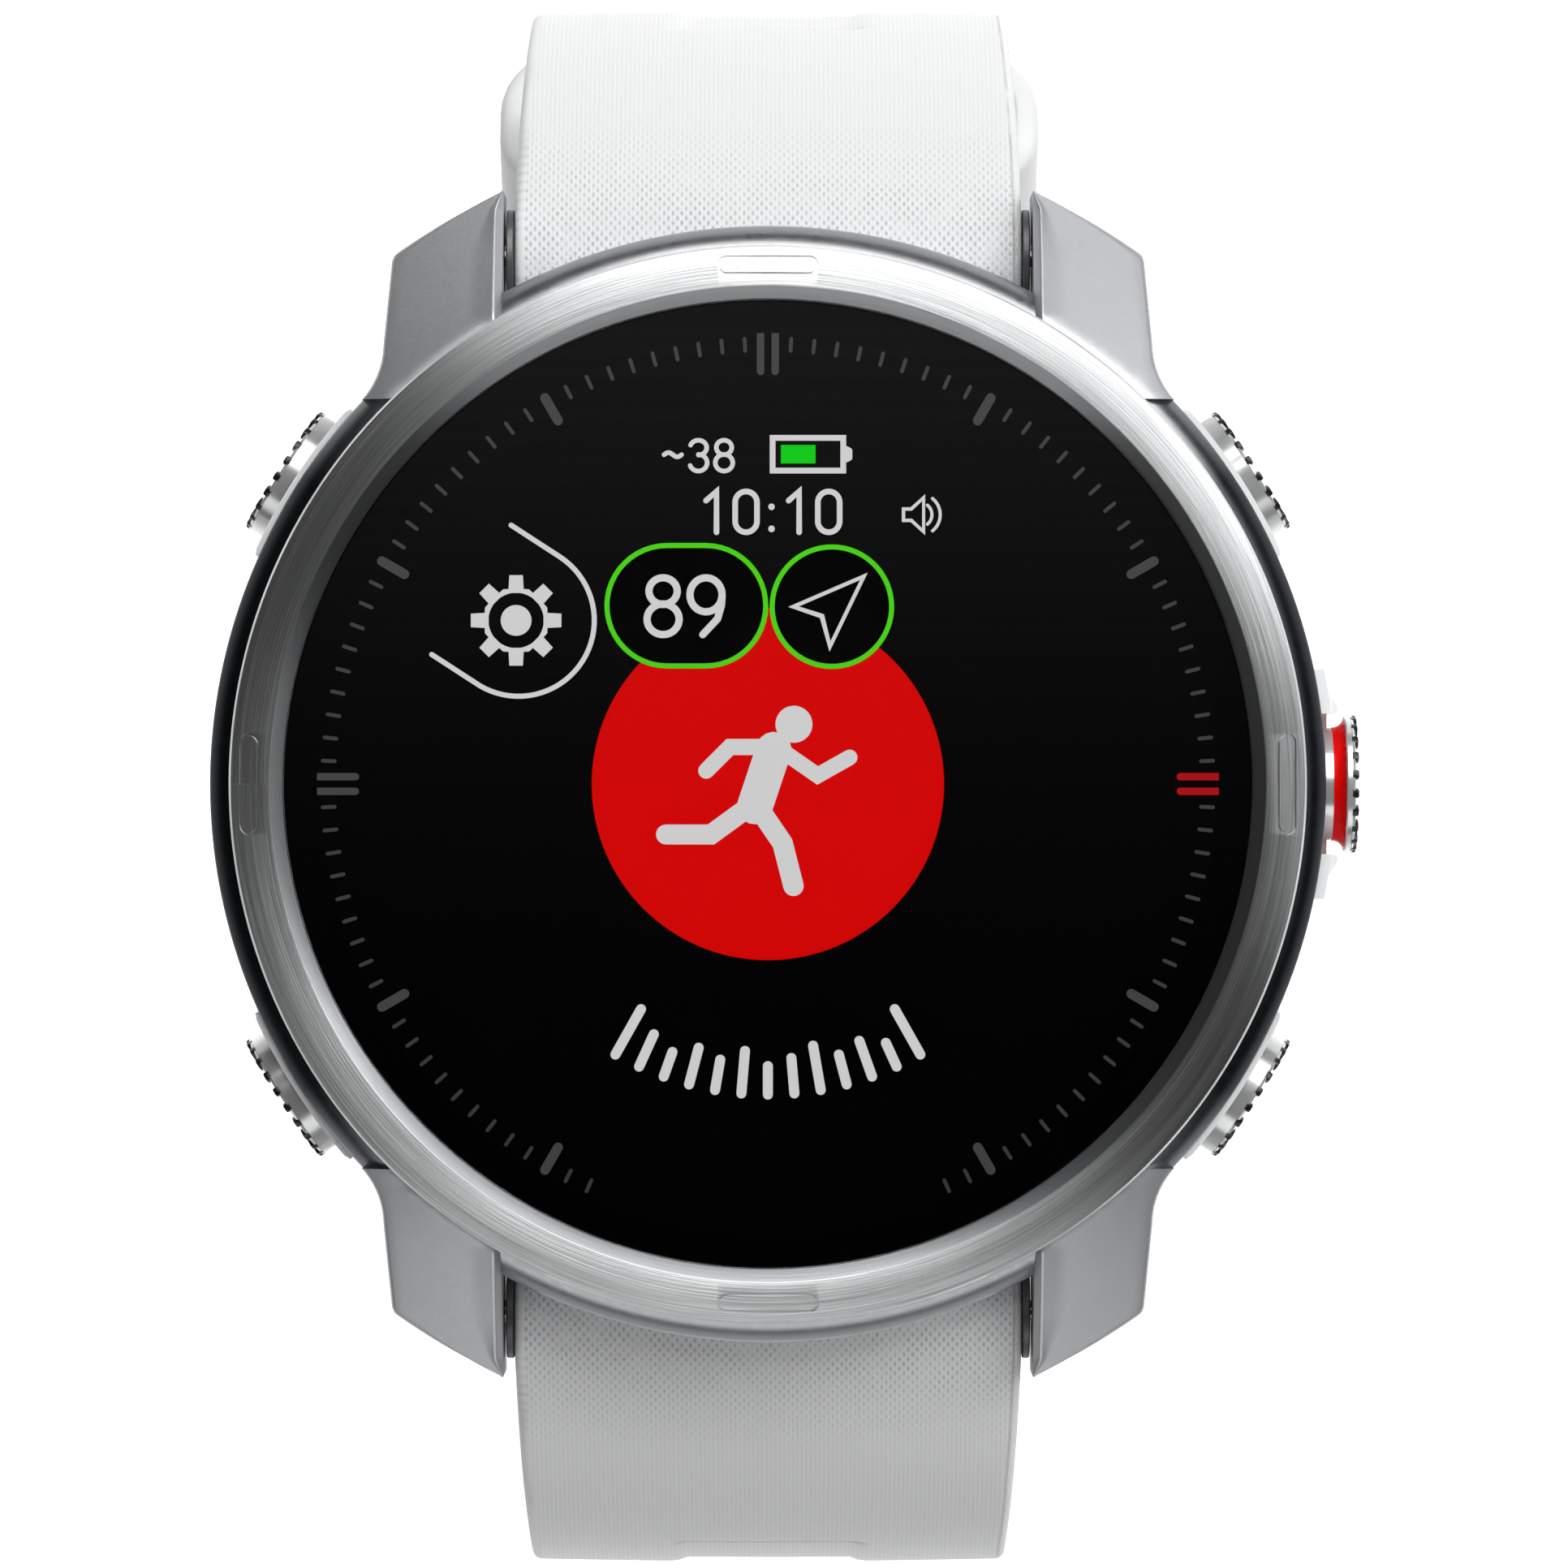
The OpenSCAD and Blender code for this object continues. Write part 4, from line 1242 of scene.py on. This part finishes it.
def buckle_thickness(s):
    over = s - BUCKLE_LENGTH
    t = mix(root_half_thickness(s), 1.25, ease((s - 5) / (TIGHT_LENGTH - 2.5)))
    if over < -2:
        return t
    bar = s - BUCKLE_LENGTH - BUCKLE_BAR_AT
    if bar < 0:
        return mix(t, BUCKLE_END_R, ease((over + 2) / 3.4))
    return math.sqrt(max(0.02, BUCKLE_END_R ** 2 - bar ** 2))


def buckle_place(s, x, n):
    """on_strap for the buckle half, straight on past the end of its bend."""
    if s <= BUCKLE_LENGTH:
        return on_strap(s, x, n, BUCKLE_ARC_R)
    m = local_frame(BUCKLE_LENGTH, BUCKLE_ARC_R, 1)
    return tuple((m @ (Vector((x, s - BUCKLE_LENGTH, n)) * MM)) / MM)


def buckle_rows():
    rows = strap_rows(BUCKLE_LENGTH, 0)
    rows += [BUCKLE_LENGTH + BUCKLE_BAR_AT * k / 4 for k in range(1, 5)]
    bar = BUCKLE_LENGTH + BUCKLE_BAR_AT
    return rows + [bar + BUCKLE_END_R * math.sin(math.radians(a)) for a in (15, 30, 45, 58, 70, 80)]


def build_buckle_half():
    rows = buckle_rows()
    mesh = strap_mesh("strap_buckle", BUCKLE_ARC_R, 1, rows, buckle_width, buckle_thickness)
    columns = len(mesh.vertices) // len(rows)
    for i, s in enumerate(rows):
        if s <= BUCKLE_LENGTH:
            continue
        ring = section(buckle_width(s), buckle_thickness(s), CROWN)
        for k in range(columns):
            mesh.vertices[i * columns + k].co = Vector(buckle_place(s, ring[k][0], ring[k][1])) * MM
    obj = place("strap_buckle", mesh, "strap_top", SILICONE)
    end = local_frame(BUCKLE_LENGTH, BUCKLE_ARC_R, 1)
    cut(obj, lever_slot(1), block((-1.3, 1.3), (-1.6, 6), (-4, 4), end))
    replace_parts(obj, "strap_buckle_half")


def build_gap_shade_discs():
    """A dark steel collar at each end of the two spring bars, in the gap between strap and lug, put there as
    painted shade for that gap.
    """
    outline = [(0.5, 10.88), (2.0, 10.88), (2.05, 10.93), (2.05, 11.15), (2.0, 11.2), (0.5, 11.2)]
    for flip, body in ((1, "strap_top"), (-1, "strap_bottom")):
        for side in (1, -1):
            name = f"collar_{body}_{'right' if side > 0 else 'left'}"
            mesh = lathe(name, outline, 48)
            mesh.transform(Matrix.Translation(Vector((0, flip * BAR_Y, BAR_Z)) * MM)
                           @ Matrix.Rotation(side * math.pi / 2, 4, "Y"))
            place(name, mesh, body, WEIGHT, 40)


build_tail()
build_buckle_half()
build_gap_shade_discs()


# ---------------------------------------------------------------- keepers

def keeper_ring(half_x, low_n, high_n, corner):
    """The keeper's middle line round the strap as (x, n), with its outward direction."""
    corners = [(-half_x, low_n, corner), (half_x, low_n, corner), (half_x, high_n, corner + 0.9),
               (-half_x, high_n, corner + 0.9)]
    loop = rounded(corners, 8)
    dense = []
    for i, p in enumerate(loop):
        q = loop[(i + 1) % len(loop)]
        parts = max(1, int((q - p).length / 1.2))
        dense += [p + (q - p) * k / parts for k in range(parts)]
    out = []
    for i, p in enumerate(dense):
        along = dense[(i + 1) % len(dense)] - dense[i - 1]
        out.append((p, Vector((along.y, -along.x)).normalized()))
    return out


def build_keeper(name, node, body, start, span, inner_gap):
    """A moulded band round the strap and the tail's place: start and span are angles along the strap."""
    start, length = BUCKLE_ARC_R * math.radians(start), BUCKLE_ARC_R * math.radians(span)
    wall = 1.1
    under, over, overlap = 1.25, 1.3, 0.35
    tail_room = 2.95
    low_n = -under - inner_gap - wall / 2
    high_n = over + tail_room + wall / 2 - overlap
    band = rounded([(0, -wall / 2, 0.25), (length, -wall / 2, 0.25), (length, wall / 2, 0.5),
                    (0, wall / 2, 0.5)], 4)
    verts = []
    ring = keeper_ring(11.75, low_n, high_n, 2.0)
    for p, out in ring:
        for along, lift in band:
            q = p + out * lift
            verts.append(on_strap(TIGHT_LENGTH + start + along, q.x, q.y, BUCKLE_ARC_R))
    columns = len(band)
    faces = grid_faces(len(ring), columns, caps=False)
    last = (len(ring) - 1) * columns
    faces += [[last + k, last + (k + 1) % columns, (k + 1) % columns, k] for k in range(columns)]
    mesh = mesh_of(name, verts, faces)
    mesh.uv_layers.new(name="UVMap")
    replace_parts(place(name, mesh, body, SILICONE), node)


build_keeper("loop_free", "free_keeper", "keeper", 27, 16.4, 0.1)
build_keeper("loop_fixed", "fixed_keeper", "strap_top", 62, 12, 0.0)


# ---------------------------------------------------------------- buckle

def sweep(path, sideways, section_at):
    """A tube along a path, with section_at(i) its outline at point i and sideways that outline's x."""
    verts = []
    for i, p in enumerate(path):
        p = Vector(p)
        along = (Vector(path[min(i + 1, len(path) - 1)]) - Vector(path[max(i - 1, 0)])).normalized()
        second = along.cross(sideways).normalized()
        verts += [tuple(p + sideways * a + second * b) for a, b in section_at(i)]
    columns = len(section_at(0))
    return verts, grid_faces(len(path), columns)


def build_buckle_frame():
    """A U of rounded steel from one end of the bar round to the other, notched for the tongue."""
    side, front, turn = 11.65, 15.5, 3.4
    path = [(-side, 1.0), (-side, 1.9), (-side, 4)]
    path += arc(-side + turn, front - turn, turn, turn, 180, 90, 10)
    path += [(-side + turn + (2 * side - 2 * turn) * k / 24, front) for k in range(1, 24)]
    path += arc(side - turn, front - turn, turn, turn, 90, 0, 10)
    path += [(side, 4), (side, 1.9), (side, 1.0)]
    count = len(path)

    def outline(i):
        x, y = path[i]
        wide = mix(0.75, 1.1, ease((y - 6) / 9))
        tall = mix(1.2, 1.0, ease((y - 4) / 9))
        if i in (0, count - 1):
            wide, tall = wide * 0.8, tall * 0.8
        notch = 0.32 * (1 - ease((abs(x) - 0.9) / 0.5)) if y > 10 else 0
        ring = rounded([(tall - notch, -wide, 0.4), (tall - notch, wide, 0.4), (-tall, wide, 0.5),
                        (-tall, -wide, 0.5)], 4)
        return [tuple(p) for p in ring]

    mesh = mesh_of("buckle_loop", *sweep([(x, y, 0) for x, y in path], Vector((0, 0, 1)), outline))
    mesh.transform(local_frame(BUCKLE_LENGTH, BUCKLE_ARC_R, 1))
    obj = place("buckle_loop", mesh, "buckle", BUCKLE, 40)
    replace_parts(obj, "buckle_frame")


def build_tongue():
    """A flat steel pin bent round the bar, with a rounded tip that rests in the frame's notch."""
    bend = arc(BUCKLE_BAR_AT, 0, 1.2, 1.2, -70, -270, 18)
    path = [(0, y, z) for y, z in bend]
    path += [(0, y, 1.2 - 0.1 * ease((y - 8) / 6)) for y in (3, 5, 7, 9, 11, 13, 14, 15, 15.8, 16.4, 16.7)]
    count = len(path)

    def outline(i):
        rest = count - 1 - i
        wide = 1.0 if rest > 3 else (0.45, 0.8, 0.93, 0.98)[rest]
        tall = 0.36 if rest > 2 else (0.16, 0.28, 0.34)[rest]
        corners = ((-wide, -tall), (wide, -tall), (wide, tall), (-wide, tall))
        return [tuple(p) for p in rounded([(x, y, 0.14) for x, y in corners], 3)]

    mesh = mesh_of("tongue_pin", *sweep(path, Vector((1, 0, 0)), outline))
    mesh.transform(local_frame(BUCKLE_LENGTH, BUCKLE_ARC_R, 1))
    obj = place("tongue_pin", mesh, "tongue", BUCKLE, 40)
    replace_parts(obj, "buckle_tongue")


build_buckle_frame()
build_tongue()


# ---------------------------------------------------------------- stage, lights and camera

LENS_DISTANCE = 0.4
FRAME_WIDTH = 0.0659
VIEW_SIDE = 0.00068


def build_floor():
    low = cad_box[0][2] - 0.001
    mesh = bpy.data.meshes.new("floor")
    r = 3.0
    mesh.from_pydata([(-r, -r, low), (r, -r, low), (r, r, low), (-r, r, low)], [], [(0, 1, 2, 3)])
    obj = new_object("floor", mesh)
    mesh.materials.append(plain_floor())


def soft_light(name, azimuth, elevation, distance, size, power, size_y):
    """A rectangular area light that looks at the watch from a direction given in degrees."""
    data = bpy.data.lights.new(name, "AREA")
    data.energy = power
    data.shape = "RECTANGLE"
    data.size = size
    data.size_y = size_y
    obj = new_object(name, data)
    a, e = math.radians(azimuth), math.radians(elevation)
    obj.location = distance * Vector((math.cos(a) * math.cos(e), math.sin(a) * math.cos(e), math.sin(e)))
    obj.rotation_euler = (-obj.location).to_track_quat("-Z", "Y").to_euler()


def build_lights():
    world = bpy.data.worlds.new("studio")
    bpy.context.scene.world = world
    world.use_nodes = True
    background = world.node_tree.nodes["Background"]
    background.inputs[0].default_value = (1.0, 1.0, 1.0, 1)
    background.inputs[1].default_value = 0.04
    soft_light("key", 67, 46, 1.0, 1.45, 10.9, 0.72)
    soft_light("overhead", 88, 70, 1.0, 0.34, 0.9, 0.24)
    soft_light("side", 12, 40, 1.0, 0.8, 1.3, 0.5)
    soft_light("front", 268, 29, 1.1, 1.6, 4.3, 0.62)


def build_camera():
    data = bpy.data.cameras.new("camera")
    data.sensor_width = 36
    data.lens = 36 * LENS_DISTANCE / FRAME_WIDTH
    data.clip_start = 0.01
    data.clip_end = 20
    obj = new_object("camera", data)
    obj.location = (VIEW_SIDE, 0, BEZEL_TOP * MM + LENS_DISTANCE)
    bpy.context.scene.camera = obj


build_floor()
build_lights()
build_camera()
bpy.context.scene.view_settings.view_transform = "Standard"
